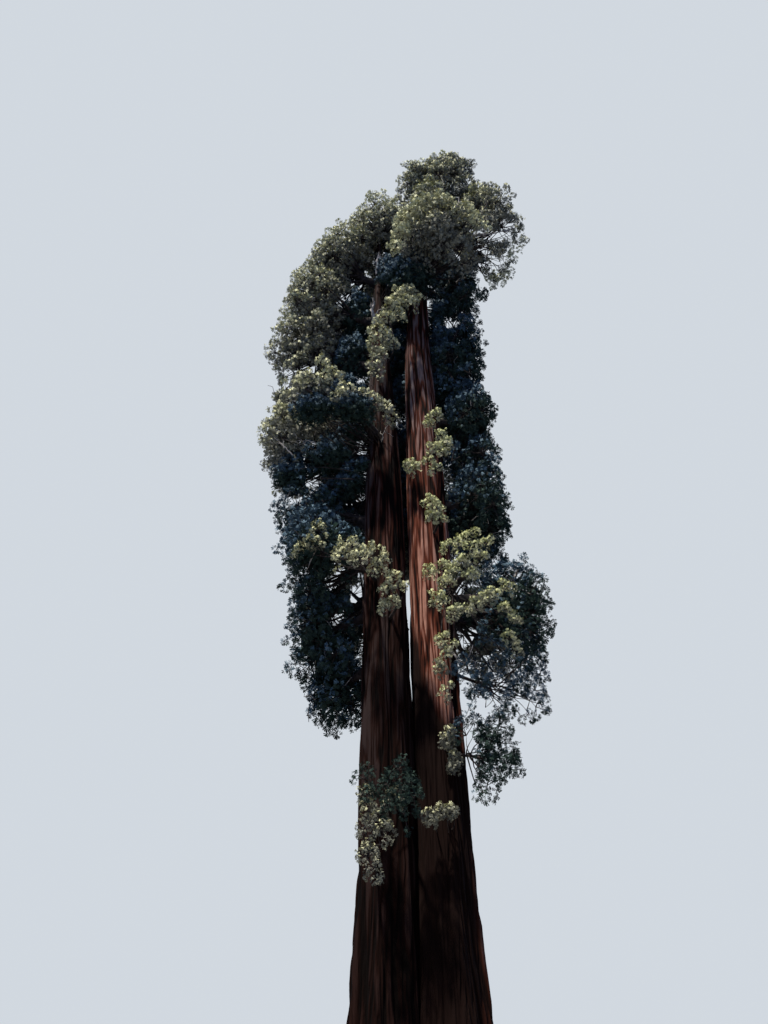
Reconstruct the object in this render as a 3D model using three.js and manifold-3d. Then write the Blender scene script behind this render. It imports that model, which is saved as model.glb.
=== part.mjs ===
// A giant sequoia with two stems grown together at the butt, as a scene graph of separate solids:
// the double trunk, the main boughs and the masses of foliage that they carry.
// The tree is worked out at its real size in metres and drawn at model size in millimetres.
// The frame is +Z up, +X to the right and +Y away, with the origin on the ground under the trunk.
import * as THREE from "three";
import { mergeVertices } from "three/addons/utils/BufferGeometryUtils.js";
import Module from "manifold-3d";

const wasm = await Module();
wasm.setup();

// Driving sizes, in metres of the real tree
const treeHeight = 75;
const modelHeight = 40000; // millimetres
const mmPerMetre = modelHeight / treeHeight;
const seatGap = 0.3 / mmPerMetre; // between two pieces that meet
const limbClearance = 0.12; // foliage to any limb
const woodClearance = 0.06; // foliage to the wood that it is cut clear of
const spaceClearance = 0.05; // foliage to the next mass's space

// Each stem's centre and bark radius at a few heights
const stems = {
  left: {
    lobes: 7,
    turn: 0.4,
    stations: [
      { z: 0, x: -1.25, y: -0.1, r: 1.42 },
      { z: 5.5, x: -1.22, y: -0.1, r: 1.38 },
      { z: 10, x: -1.16, y: -0.1, r: 1.31 },
      { z: 19, x: -1.27, y: -0.1, r: 1.22 },
      { z: 31.5, x: -1.38, y: -0.1, r: 1.12 },
      { z: 36.6, x: -1.46, y: 0, r: 1.0 },
      { z: 44.5, x: -1.64, y: 0, r: 0.66 },
      { z: 53, x: -1.72, y: 0, r: 0.44 },
      { z: 59.6, x: -1.9, y: -0.4, r: 0.22 },
    ],
  },
  right: {
    lobes: 6,
    turn: 1.3,
    stations: [
      { z: 0, x: 1.3, y: 0.1, r: 1.44 },
      { z: 5.5, x: 1.3, y: 0.1, r: 1.4 },
      { z: 10, x: 1.27, y: 0.1, r: 1.28 },
      { z: 19, x: 1.28, y: 0.1, r: 1.16 },
      { z: 31.5, x: 1.25, y: 0.1, r: 1.16 },
      { z: 36.6, x: 1.2, y: 0, r: 1.08 },
      { z: 44.5, x: 1.08, y: 0, r: 0.9 },
      { z: 53, x: 1.3, y: 0, r: 0.66 },
      { z: 67.2, x: 3.1, y: 0.5, r: 0.24 },
    ],
  },
};
const trunk = { sides: 16, rings: 13, flare: 1.15, flareHeight: 2.6 };
const lobe = { depth: 0.1, height: 14, least: 0.02 }; // flutes, deepest at the butt
const bough = { sides: 5, steps: 3, butt: 0.42, tip: 0.2, lift: 0.1, short: 0.8 };
const massLimb = { sides: 4, steps: 2, butt: 0.3, tip: 0.12 };
const stoutest = 0.55; // a limb's butt by the stem's radius there
const twig = { sides: 3, radius: 0.15, reach: 0.6, every: 7 };
const spray = { length: 0.6, width: 0.34, thickness: 0.055, sunk: 0.2 }; // shares of its mass's size
const core = { low: 0.5, high: 0.66, rootShare: 0.75 }; // shares of the mass's half sizes
const foliageCount = { base: 5, perMetre: 3.0 }; // sprays and twigs in a mass, by its size
const leader = { back: 0.5, spray: 1.6, share: 0.7 }; // the top's hub to its tip, and its spray

// One row for each mass of foliage: the stem it grows on, the height of its limb's root, its middle
// (x, y, z) and its half width, half depth and half height. A limb of the crown's main frame is a
// bough of its own, and the others are the mass's own stem. A mass that crowns a stem has its root on
// the stem's tip.
const left = "left";
const right = "right";
const masses = [
  { name: "top", on: right, root: 67.2, at: [3.6, 1.2, 69.9], half: [4.9, 3.3, 4.5], leader: true },
  { name: "head_front", on: right, root: 52.5, at: [2.8, -4.0, 54.8], half: [4.4, 2.8, 3.6], bough: true },
  { name: "head_right", on: right, root: 58.0, at: [7.5, -0.6, 60.0], half: [3.1, 3.0, 4.8], bough: true },
  { name: "left_top", on: left, root: 59.6, at: [-2.0, -0.6, 60.8], half: [3.9, 2.9, 3.6] },
  { name: "left_shoulder", on: left, root: 53.5, at: [-5.1, 0, 56.6], half: [3.2, 2.8, 3.5], bough: true },
  { name: "left_a", on: left, root: 48.5, at: [-6.6, 0, 51.6], half: [3.4, 2.7, 3.2], bough: true },
  { name: "left_b", on: left, root: 43.5, at: [-7.3, 0.8, 46.8], half: [3.4, 2.7, 2.9], bough: true },
  { name: "left_c", on: left, root: 39.5, at: [-7.4, 1.8, 42.2], half: [3.0, 2.5, 2.7], bough: true },
  { name: "left_billow", on: left, root: 36.5, at: [-4.7, -3.6, 37.6], half: [3.4, 2.4, 2.6], bough: true },
  { name: "left_d", on: left, root: 34.5, at: [-6.9, 0.2, 36.4], half: [3.3, 2.6, 3.1], bough: true },
  { name: "left_e", on: left, root: 30.0, at: [-6.0, 1.0, 31.4], half: [3.1, 2.6, 3.0], bough: true },
  { name: "left_f", on: left, root: 26.5, at: [-5.1, -1.4, 26.6], half: [2.7, 2.5, 3.0], bough: true },
  { name: "left_puff", on: left, root: 25.0, at: [-2.9, -4.0, 24.5], half: [2.1, 1.6, 1.7] },
  { name: "left_g", on: left, root: 23.8, at: [-5.0, 0.9, 22.8], half: [2.9, 2.6, 3.1] },
  { name: "left_h", on: left, root: 20.5, at: [-4.0, 1.8, 19.2], half: [2.6, 2.4, 3.0] },
  { name: "stem_front", on: left, root: 46.5, at: [-1.0, -2.9, 45.6], half: [1.9, 1.7, 3.7] },
  { name: "stem_puff", on: left, root: 22.6, at: [-0.4, -3.2, 22.6], half: [1.5, 1.4, 1.9] },
  { name: "right_a", on: right, root: 53.5, at: [4.7, 1.4, 54.2], half: [2.7, 2.7, 4.6] },
  { name: "right_b", on: right, root: 43.5, at: [4.4, 0.8, 45.6], half: [2.6, 2.5, 4.6] },
  { name: "right_c", on: right, root: 38.0, at: [4.7, 0.6, 38.4], half: [2.6, 2.4, 3.7] },
  { name: "right_d", on: right, root: 31.5, at: [4.9, 0.4, 31.4], half: [2.6, 2.4, 3.9] },
  { name: "right_puff_a", on: right, root: 34.2, at: [2.3, -2.6, 34.0], half: [1.6, 1.4, 1.9] },
  { name: "right_puff_b", on: right, root: 28.4, at: [1.9, -2.6, 28.4], half: [1.3, 1.3, 2.1] },
  { name: "right_billow", on: right, root: 24.0, at: [3.6, -3.6, 24.4], half: [2.6, 2.2, 2.9], bough: true },
  { name: "right_e", on: right, root: 24.5, at: [6.2, 0, 23.6], half: [2.4, 2.5, 3.7], bough: true },
  { name: "right_f", on: right, root: 20.5, at: [4.5, -1.0, 18.7], half: [3.0, 2.2, 2.2] },
  { name: "low_right", on: right, root: 16.5, at: [3.5, -1.6, 14.8], half: [2.3, 1.8, 2.2] },
  { name: "low_front", on: left, root: 13.6, at: [-0.5, -3.1, 12.5], half: [1.9, 1.4, 1.8] },
  { name: "low_left", on: left, root: 11.6, at: [-2.3, -2.8, 10.4], half: [1.2, 1.2, 2.2] },
  { name: "back_a", on: left, root: 25.0, at: [-3.9, 5.4, 26.6], half: [3.2, 3.0, 3.7], bough: true },
  { name: "back_b", on: right, root: 24.0, at: [4.6, 5.2, 25.6], half: [3.1, 3.0, 3.8], bough: true },
  { name: "back_c", on: left, root: 32.0, at: [-4.5, 5.1, 34.6], half: [3.2, 3.0, 4.1], bough: true },
  { name: "back_d", on: right, root: 30.5, at: [4.6, 5.2, 33.6], half: [3.1, 3.0, 4.1], bough: true },
  { name: "back_e", on: left, root: 41.0, at: [-4.5, 5.1, 42.8], half: [3.2, 3.0, 4.1], bough: true },
  { name: "back_f", on: right, root: 38.5, at: [4.5, 5.2, 42.0], half: [3.1, 3.0, 4.2], bough: true },
  { name: "back_g", on: left, root: 47.5, at: [-4.3, 4.6, 51.0], half: [3.3, 3.0, 4.1], bough: true },
  { name: "back_h", on: right, root: 46.5, at: [2.7, 5.2, 50.4], half: [3.3, 3.0, 4.1], bough: true },
  { name: "back_i", on: left, root: 55.5, at: [-0.9, 4.2, 58.4], half: [3.5, 3.0, 4.1] },
  { name: "back_j", on: right, root: 60.5, at: [4.8, 4.0, 61.8], half: [3.4, 2.9, 4.4] },
];

const up = new THREE.Vector3(0, 0, 1);
const v = (x, y, z) => new THREE.Vector3(x, y, z);

// A repeatable stream of numbers from 0 to 1
function seeded(seed) {
  let state = seed >>> 0;
  return () => {
    state = (state + 0x6d2b79f5) >>> 0;
    let t = state;
    t = Math.imul(t ^ (t >>> 15), t | 1);
    t ^= t + Math.imul(t ^ (t >>> 7), t | 61);
    return ((t ^ (t >>> 14)) >>> 0) / 4294967296;
  };
}

// A closed geometry in metres as a solid in millimetres
function toSolid(geometry) {
  const bare = new THREE.BufferGeometry();
  bare.setAttribute("position", geometry.getAttribute("position").clone());
  if (geometry.index) bare.setIndex(geometry.index.clone());
  bare.scale(mmPerMetre, mmPerMetre, mmPerMetre);
  const merged = mergeVertices(bare, 1e-2);
  const corners = Array.from(merged.index.array);
  const faces = [];
  for (let i = 0; i < corners.length; i += 3) {
    const [a, b, c] = corners.slice(i, i + 3);
    if (a !== b && b !== c && c !== a) faces.push([a, b, c]);
  }
  const make = (list) =>
    new wasm.Manifold(
      new wasm.Mesh({
        numProp: 3,
        vertProperties: new Float32Array(merged.attributes.position.array),
        triVerts: new Uint32Array(list.flat()),
      }),
    );
  const solid = make(faces);
  return solid.volume() < 0 ? make(faces.map(([a, b, c]) => [a, c, b])) : solid;
}

function toMesh(name, solid, material) {
  const { vertProperties, triVerts } = solid.getMesh();
  const geometry = new THREE.BufferGeometry();
  geometry.setAttribute("position", new THREE.BufferAttribute(new Float32Array(vertProperties), 3));
  geometry.setIndex(new THREE.BufferAttribute(new Uint32Array(triVerts), 1));
  geometry.computeVertexNormals();
  const mesh = new THREE.Mesh(geometry, material);
  mesh.name = name;
  return mesh;
}

// A stem's centre and bark radius at a height
function stemAt(name, z) {
  const { stations } = stems[name];
  const last = stations.length - 1;
  let i = 0;
  while (i < last - 1 && z > stations[i + 1].z) i += 1;
  const [a, b] = [stations[i], stations[i + 1]];
  const t = THREE.MathUtils.clamp((z - a.z) / (b.z - a.z), 0, 1);
  const mix = (key) => THREE.MathUtils.lerp(a[key], b[key], t);
  const flare = trunk.flare * Math.exp(-z / trunk.flareHeight);
  return { x: mix("x"), y: mix("y"), r: mix("r") + flare };
}

const stemTop = (name) => stems[name].stations.at(-1).z;
const isCrowning = (mass) => mass.root === stemTop(mass.on);

// One stem: a closed cylinder whose rings are moved to the stem's own centres and fluted radii.
// With a clearance it is that much fatter and taller.
function stemSolid(name, clearance = 0) {
  const { lobes, turn } = stems[name];
  const top = stemTop(name) + clearance;
  const geometry = new THREE.CylinderGeometry(1, 1, 1, trunk.sides, trunk.rings);
  const position = geometry.getAttribute("position");
  for (let i = 0; i < position.count; i += 1) {
    const level = position.getY(i) + 0.5;
    const z = top * Math.pow(level, 1.7); // rings lie closer together near the ground
    const { x, y, r } = stemAt(name, z);
    const [px, py] = [position.getX(i), -position.getZ(i)];
    const wave = Math.cos(lobes * Math.atan2(py, px) + turn);
    const depth = lobe.depth * Math.exp(-z / lobe.height) + lobe.least;
    const reach = r * (1 + depth * wave) + clearance;
    position.setXYZ(i, x + px * reach, y + py * reach, z);
  }
  return toSolid(geometry);
}

// A limb along a curve, from its butt radius to its tip radius
function limbSolid(curve, butt, tip, sides, steps) {
  const upright = curve.getPoint(1).sub(curve.getPoint(0)).normalize().z > 0.8;
  const reference = upright ? v(0, 1, 0) : up;
  const geometry = new THREE.CylinderGeometry(1, 1, 1, sides, steps);
  const position = geometry.getAttribute("position");
  for (let i = 0; i < position.count; i += 1) {
    const t = position.getY(i) + 0.5;
    const along = curve.getTangent(t);
    const across = new THREE.Vector3().crossVectors(along, reference).normalize();
    const over = new THREE.Vector3().crossVectors(across, along);
    const r = THREE.MathUtils.lerp(butt, tip, t);
    const point = curve.getPoint(t);
    point.addScaledVector(across, position.getX(i) * r);
    point.addScaledVector(over, position.getZ(i) * r);
    position.setXYZ(i, point.x, point.y, point.z);
  }
  return toSolid(geometry);
}

// The line of a mass's limb: from the stem's heart to where the limb ends
function planLimb(mass) {
  const heart = stemAt(mass.on, mass.root);
  const start = v(heart.x, heart.y, mass.root);
  const middle = v(...mass.at);
  const way = middle.clone().sub(start);
  const [halfWidth, , halfHeight] = mass.half;
  const inside = mass.bough ? bough.short * Math.min(halfWidth, halfHeight) : 0;
  const end = start.clone().addScaledVector(way, 1 - inside / way.length());
  const bend = start.clone().lerp(end, 0.5);
  if (!isCrowning(mass)) bend.z -= bough.lift * way.length();
  const curve = new THREE.QuadraticBezierCurve3(start, bend, end);
  const kind = mass.bough ? bough : massLimb;
  const butt = Math.min(kind.butt, heart.r * stoutest);
  return { curve, butt, tip: Math.min(kind.tip, butt) };
}

// The straight way out of the stem along which a limb's root is moved off the bark
function rootWay({ curve }) {
  return curve.getPoint(1).sub(curve.getPoint(0)).normalize();
}

const limbs = masses.map(planLimb);

// The clear distance from a point to the bark of the stems and of every limb but the one left out
function clearOf(point, except) {
  let least = Infinity;
  for (const name of Object.keys(stems)) {
    const top = stemTop(name);
    const { x, y, r } = stemAt(name, Math.min(point.z, top));
    const over = Math.max(point.z - top, 0);
    const flat = Math.hypot(point.x - x, point.y - y) - r * (1 + lobe.depth + lobe.least);
    least = Math.min(least, over > 0 ? Math.hypot(Math.max(flat, 0), over) : flat);
  }
  limbs.forEach((limb, index) => {
    if (index === except) return;
    for (let k = 0; k <= 12; k += 1) {
      const t = k / 12;
      const r = THREE.MathUtils.lerp(limb.butt, limb.tip, t);
      least = Math.min(least, limb.curve.getPoint(t).distanceTo(point) - r);
    }
  });
  return least;
}

const roundSize = (mass) => Math.cbrt(mass.half[0] * mass.half[1] * mass.half[2]);

// How far inside its mass's own space a point lies. Flat walls part each space from its neighbours'.
function insideSpace(point, index) {
  const own = masses[index];
  const middle = v(...own.at);
  let least = Infinity;
  masses.forEach((other, k) => {
    if (k === index) return;
    const far = v(...other.at);
    const span = far.distanceTo(middle);
    const power = (mass, centre) => point.distanceToSquared(centre) - roundSize(mass) ** 2;
    least = Math.min(least, (power(other, far) - power(own, middle)) / (2 * span));
  });
  return least;
}

function fits(points, index, ownLimbCounts) {
  return points.every(
    (point) =>
      insideSpace(point, index) > spaceClearance &&
      clearOf(point, ownLimbCounts ? -1 : index) > limbClearance,
  );
}

// A point on the mass's outline in a direction, at a share of the half sizes
function onOutline(mass, direction, share) {
  const [a, b, c] = mass.half;
  return v(
    mass.at[0] + direction.x * a * share,
    mass.at[1] + direction.y * b * share,
    mass.at[2] + direction.z * c * share,
  );
}

// Directions spread evenly over a ball, turned by a seeded angle
function spread(count, random) {
  const turn = random() * Math.PI * 2;
  const goldenAngle = Math.PI * (3 - Math.sqrt(5));
  return Array.from({ length: count }, (_, i) => {
    const z = 1 - (2 * i + 1) / count;
    const flat = Math.sqrt(1 - z * z);
    return v(flat * Math.cos(turn + i * goldenAngle), flat * Math.sin(turn + i * goldenAngle), z);
  });
}

// The dense heart of a mass: a lumpy ball that is drawn in wherever it would near a limb or a neighbour
function coreSolid(mass, index, random) {
  const geometry = new THREE.IcosahedronGeometry(1, 0);
  const position = geometry.getAttribute("position");
  const corners = new Map();
  for (let i = 0; i < position.count; i += 1) {
    const direction = v(position.getX(i), position.getY(i), position.getZ(i));
    const key = direction.toArray().map((value) => value.toFixed(3)).join();
    if (!corners.has(key)) {
      let share = THREE.MathUtils.lerp(core.low, core.high, random());
      while (share > 0.1 && !fits([onOutline(mass, direction, share)], index, false)) share -= 0.04;
      corners.set(key, onOutline(mass, direction, share));
    }
    position.setXYZ(i, ...corners.get(key).toArray());
  }
  return toSolid(geometry);
}

// The corners of a spray: a forked blade with a ridge on both faces
function sprayPoints(root, along, across, size) {
  const over = new THREE.Vector3().crossVectors(along, across).normalize();
  const corner = (length, width) =>
    root
      .clone()
      .addScaledVector(along, length * spray.length * size)
      .addScaledVector(across, width * spray.width * size);
  const edge = [corner(-0.12, 0), corner(0.84, 1.0), corner(0.74, 0.08), corner(1.0, -0.85)];
  const ridge = corner(0.46, 0.02);
  const faces = [1, -1].map((side) => ridge.clone().addScaledVector(over, side * spray.thickness * size));
  return { edge, faces };
}

function spraySolid({ edge, faces }) {
  const corners = edge.length;
  const geometry = new THREE.SphereGeometry(1, corners, 2);
  const position = geometry.getAttribute("position");
  for (let i = 0; i < position.count; i += 1) {
    const height = position.getY(i);
    const turn = Math.atan2(position.getZ(i), -position.getX(i)) / (2 * Math.PI);
    const corner = Math.round(turn * corners + corners) % corners;
    const point = Math.abs(height) > 0.5 ? faces[height > 0 ? 0 : 1] : edge[corner];
    position.setXYZ(i, point.x, point.y, point.z);
  }
  return toSolid(geometry);
}

function twigSolid(from, to, radius) {
  const length = to.distanceTo(from);
  const geometry = new THREE.ConeGeometry(radius, length, twig.sides);
  geometry.translate(0, length / 2, 0);
  const turn = new THREE.Quaternion().setFromUnitVectors(v(0, 1, 0), to.clone().sub(from).normalize());
  geometry.applyQuaternion(turn);
  geometry.translate(from.x, from.y, from.z);
  return toSolid(geometry);
}

// A spray that starts at a point and leans off a way out, or nothing where it would leave the space
function tryRoot(root, along, lean, turn, size, index) {
  const side = new THREE.Vector3().crossVectors(along, up);
  if (side.lengthSq() < 0.01) side.set(1, 0, 0);
  side.normalize().applyAxisAngle(along, turn);
  const way = along.clone().applyAxisAngle(side, lean);
  const points = sprayPoints(root, way, side, size);
  return fits([...points.edge, ...points.faces], index, true) ? spraySolid(points) : null;
}

// The rule that fills a mass: most sprays stand out of the core, and every few of them a twig from the
// hub reaches further out and carries two
function branchOut(mass, index, random) {
  const hub = v(...mass.at);
  const size = roundSize(mass);
  const pieces = [];
  spread(Math.round(foliageCount.base + foliageCount.perMetre * size), random).forEach((direction, k) => {
    direction.add(v(random() - 0.5, random() - 0.5, random() - 0.5).multiplyScalar(0.25)).normalize();
    const turn = random() * Math.PI;
    const scale = size * (0.92 + 0.2 * random());
    const lean = (random() < 0.5 ? -1 : 1) * (0.25 + 0.35 * random());
    if (k % twig.every) {
      const root = onOutline(mass, direction, core.low * core.rootShare);
      const held = tryRoot(root, root.clone().sub(hub).normalize(), lean, turn, scale, index);
      if (held) pieces.push(held);
      return;
    }
    const tip = onOutline(mass, direction, twig.reach);
    const along = tip.clone().sub(hub).normalize();
    if (!fits([tip, hub.clone().lerp(tip, 0.8)], index, true)) return;
    const outer = hub.clone().lerp(tip, 1 - spray.sunk);
    const inner = hub.clone().lerp(tip, 0.62);
    const held = [
      tryRoot(outer, along, 0.12, turn, scale * 0.8, index),
      tryRoot(inner, along, Math.sign(lean) * 1.05, turn + Math.PI / 2, scale * 0.8, index),
    ].filter(Boolean);
    if (held.length) pieces.push(twigSolid(hub, tip, twig.radius), ...held);
  });
  return pieces;
}

// The leader: a twig with a spray whose highest corner is the top of the tree
function leaderPieces(mass) {
  const hub = v(...mass.at);
  const tip = v(hub.x, hub.y + leader.back, treeHeight - leader.spray);
  const points = sprayPoints(tip, up, v(1, 0, 0), roundSize(mass) * leader.share);
  const corners = [...points.edge, ...points.faces];
  const rise = treeHeight - Math.max(...corners.map((corner) => corner.z));
  corners.forEach((corner) => corner.addScaledVector(up, rise));
  return [twigSolid(hub, tip, twig.radius), spraySolid(points)];
}

// The stem of a mass: short from its bough's tip, or all the way from the trunk
function massStem(mass, limb, doubleTrunk) {
  const { sides, steps } = massLimb;
  if (!mass.bough && !isCrowning(mass)) {
    return offBark(limbSolid(limb.curve, limb.butt, limb.tip, sides, steps), limb, doubleTrunk);
  }
  const end = mass.bough ? 1 : 0;
  const way = mass.bough ? limb.curve.getTangent(end) : up;
  const from = limb.curve.getPoint(end).addScaledVector(way, seatGap);
  if (mass.bough) from.addScaledVector(rootWay(limb), seatGap); // the bough itself was moved as far
  const first = from.clone().addScaledVector(way, 0.25);
  const curve = new THREE.QuadraticBezierCurve3(from, first, v(...mass.at));
  return limbSolid(curve, limb.tip * 0.9, limb.tip * 0.5, sides, steps);
}

// A limb cut to the bark and moved off it by the seat gap
function offBark(solid, limb, doubleTrunk) {
  const move = rootWay(limb).multiplyScalar(seatGap * mmPerMetre);
  const cut = solid.subtract(doubleTrunk).translate([move.x, move.y, move.z]);
  return largest(cut);
}

function largest(solid) {
  return solid.decompose().reduce((best, piece) => (piece.volume() > best.volume() ? piece : best));
}

// A bough with the clearance added all round and past its tip
function fatBough({ curve, butt, tip }) {
  const end = curve.v2.clone().addScaledVector(curve.getTangent(1), woodClearance);
  const longer = new THREE.QuadraticBezierCurve3(curve.v0, curve.v1, end);
  return limbSolid(longer, butt + woodClearance, tip + woodClearance, bough.sides, bough.steps);
}

function massSolid(mass, index, doubleTrunk, fatWood) {
  const random = seeded(1000 + index * 17);
  const pieces = branchOut(mass, index, random);
  if (mass.leader) pieces.push(...leaderPieces(mass));
  const billow = pieces.reduce((whole, piece) => whole.add(piece), coreSolid(mass, index, random));
  return largest(billow.subtract(fatWood).add(massStem(mass, limbs[index], doubleTrunk)));
}

const bark = new THREE.MeshStandardMaterial({ color: 0x6e3a24, roughness: 0.95, metalness: 0 });
const limbBark = new THREE.MeshStandardMaterial({ color: 0x4a3026, roughness: 0.95, metalness: 0 });
const foliage = new THREE.MeshStandardMaterial({ color: 0x55622f, roughness: 0.85, metalness: 0 });

const tree = new THREE.Group();
const doubleTrunk = stemSolid(left).add(stemSolid(right));
const fatTrunk = stemSolid(left, woodClearance).add(stemSolid(right, woodClearance));
const fatWood = limbs.filter((limb, index) => masses[index].bough)
  .reduce((whole, limb) => whole.add(fatBough(limb)), fatTrunk);
tree.add(toMesh("trunk", doubleTrunk, bark));
masses.forEach((mass, index) => {
  const limb = limbs[index];
  if (mass.bough) {
    const whole = limbSolid(limb.curve, limb.butt, limb.tip, bough.sides, bough.steps);
    tree.add(toMesh(`bough_${mass.name}`, offBark(whole, limb, doubleTrunk), limbBark));
  }
  tree.add(toMesh(`foliage_${mass.name}`, massSolid(mass, index, doubleTrunk, fatWood), foliage));
});

export default tree;
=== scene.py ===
# The looks of the giant sequoia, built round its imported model: two grown-together stems with furrowed
# bark, the limbs, the twigs that grow on from them and the sprays that the twigs carry.
import math

import bpy
import numpy as np
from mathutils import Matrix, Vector, noise


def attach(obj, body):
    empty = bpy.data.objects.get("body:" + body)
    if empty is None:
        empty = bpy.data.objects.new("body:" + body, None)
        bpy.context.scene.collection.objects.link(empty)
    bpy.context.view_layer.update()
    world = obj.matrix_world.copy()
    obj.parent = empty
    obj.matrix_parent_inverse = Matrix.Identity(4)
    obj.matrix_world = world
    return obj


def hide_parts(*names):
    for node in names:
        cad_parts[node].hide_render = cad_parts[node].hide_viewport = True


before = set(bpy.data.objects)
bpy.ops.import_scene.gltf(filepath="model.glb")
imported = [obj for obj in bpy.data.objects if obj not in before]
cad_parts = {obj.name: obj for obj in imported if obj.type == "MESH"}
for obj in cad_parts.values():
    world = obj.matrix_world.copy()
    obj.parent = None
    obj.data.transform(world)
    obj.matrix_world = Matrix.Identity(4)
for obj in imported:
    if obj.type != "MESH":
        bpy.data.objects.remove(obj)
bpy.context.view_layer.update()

metre = 40 / 75  # the model's length of one metre of the real tree
goldenAngle = math.pi * (3 - math.sqrt(5))

# The two stems, as (height, x, y, bark radius) in metres of the real tree
stems = {
    "left": {
        "lobes": 7,
        "turn": 0.4,
        "line": np.array([
            (0, -1.25, -0.1, 1.42), (5.5, -1.22, -0.1, 1.38), (10, -1.16, -0.1, 1.31),
            (19, -1.27, -0.1, 1.22), (31.5, -1.38, -0.1, 1.12), (36.6, -1.46, 0, 1),
            (44.5, -1.64, 0, 0.66), (53, -1.72, 0, 0.44), (59.6, -1.9, -0.4, 0.22),
        ]),
    },
    "right": {
        "lobes": 6,
        "turn": 1.3,
        "line": np.array([
            (0, 1.3, 0.1, 1.44), (5.5, 1.3, 0.1, 1.4), (10, 1.27, 0.1, 1.28),
            (19, 1.28, 0.1, 1.16), (31.5, 1.25, 0.1, 1.16), (36.6, 1.2, 0, 1.08),
            (44.5, 1.08, 0, 0.9), (53, 1.3, 0, 0.66), (67.2, 3.1, 0.5, 0.24),
        ]),
    },
}

# The masses: part is the part of the crown that a mass is joined with
massFields = ("stem", "root", "middle", "half", "onBough", "part")
massRows = {
    "top": ("right", 67.2, (3.6, 1.2, 69.9), (4.9, 3.3, 4.5), False, "crown"),
    "head_front": ("right", 52.5, (2.8, -4, 54.8), (4.4, 2.8, 3.6), True, "crown"),
    "head_right": ("right", 58, (7.5, -0.6, 60), (3.1, 3, 4.8), True, "crown"),
    "left_top": ("left", 59.6, (-2, -0.6, 60.8), (3.9, 2.9, 3.6), False, "crown"),
    "left_shoulder": ("left", 53.5, (-5.1, 0, 56.6), (3.2, 2.8, 3.5), True, "crown"),
    "left_a": ("left", 48.5, (-6.6, 0, 51.6), (3.4, 2.7, 3.2), True, "left"),
    "left_b": ("left", 43.5, (-7.3, 0.8, 46.8), (3.4, 2.7, 2.9), True, "left"),
    "left_c": ("left", 39.5, (-7.4, 1.8, 42.2), (3, 2.5, 2.7), True, "left"),
    "left_billow": ("left", 36.5, (-4.7, -3.6, 37.6), (3.4, 2.4, 2.6), True, "left"),
    "left_d": ("left", 34.5, (-6.9, 0.2, 36.4), (3.3, 2.6, 3.1), True, "left"),
    "left_e": ("left", 30, (-6, 1, 31.4), (3.1, 2.6, 3), True, "left"),
    "left_f": ("left", 26.5, (-5.1, -1.4, 26.6), (2.7, 2.5, 3), True, "left"),
    "left_puff": ("left", 25, (-2.9, -4, 24.5), (2.1, 1.6, 1.7), False, "left"),
    "left_g": ("left", 23.8, (-5, 0.9, 22.8), (2.9, 2.6, 3.1), False, "left"),
    "left_h": ("left", 20.5, (-4, 1.8, 19.2), (2.6, 2.4, 3), False, "left"),
    "stem_front": ("left", 46.5, (-1, -2.9, 45.6), (1.9, 1.7, 3.7), False, "left"),
    "stem_puff": ("left", 22.6, (-0.4, -3.2, 22.6), (1.5, 1.4, 1.9), False, "left"),
    "right_a": ("right", 53.5, (4.7, 1.4, 54.2), (2.7, 2.7, 4.6), False, "crown"),
    "right_b": ("right", 43.5, (4.4, 0.8, 45.6), (2.6, 2.5, 4.6), False, "right"),
    "right_c": ("right", 38, (4.7, 0.6, 38.4), (2.6, 2.4, 3.7), False, "right"),
    "right_d": ("right", 31.5, (4.9, 0.4, 31.4), (2.6, 2.4, 3.9), False, "right"),
    "right_puff_a": ("right", 34.2, (2.3, -2.6, 34), (1.6, 1.4, 1.9), False, "right"),
    "right_puff_b": ("right", 28.4, (1.9, -2.6, 28.4), (1.3, 1.3, 2.1), False, "right"),
    "right_billow": ("right", 24, (3.6, -3.6, 24.4), (2.6, 2.2, 2.9), True, "right"),
    "right_e": ("right", 24.5, (6.2, 0, 23.6), (2.4, 2.5, 3.7), True, "right"),
    "right_f": ("right", 20.5, (4.5, -1, 18.7), (3, 2.2, 2.2), False, "right"),
    "low_right": ("right", 16.5, (3.5, -1.6, 14.8), (2.3, 1.8, 2.2), False, "right"),
    "low_front": ("left", 13.6, (-0.5, -3.1, 12.5), (1.9, 1.4, 1.8), False, "left"),
    "low_left": ("left", 11.6, (-2.3, -2.8, 10.4), (1.2, 1.2, 2.2), False, "left"),
    "back_a": ("left", 25, (-3.9, 5.4, 26.6), (3.2, 3, 3.7), True, "back"),
    "back_b": ("right", 24, (4.6, 5.2, 25.6), (3.1, 3, 3.8), True, "back"),
    "back_c": ("left", 32, (-4.5, 5.1, 34.6), (3.2, 3, 4.1), True, "back"),
    "back_d": ("right", 30.5, (4.6, 5.2, 33.6), (3.1, 3, 4.1), True, "back"),
    "back_e": ("left", 41, (-4.5, 5.1, 42.8), (3.2, 3, 4.1), True, "back"),
    "back_f": ("right", 38.5, (4.5, 5.2, 42), (3.1, 3, 4.2), True, "back"),
    "back_g": ("left", 47.5, (-4.3, 4.6, 51), (3.3, 3, 4.1), True, "back"),
    "back_h": ("right", 46.5, (2.7, 5.2, 50.4), (3.3, 3, 4.1), True, "back"),
    "back_i": ("left", 55.5, (-0.9, 4.2, 58.4), (3.5, 3, 4.1), False, "crown"),
    "back_j": ("right", 60.5, (4.8, 4, 61.8), (3.4, 2.9, 4.4), False, "crown"),
}
masses = {name: dict(zip(massFields, row)) for name, row in massRows.items()}
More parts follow.
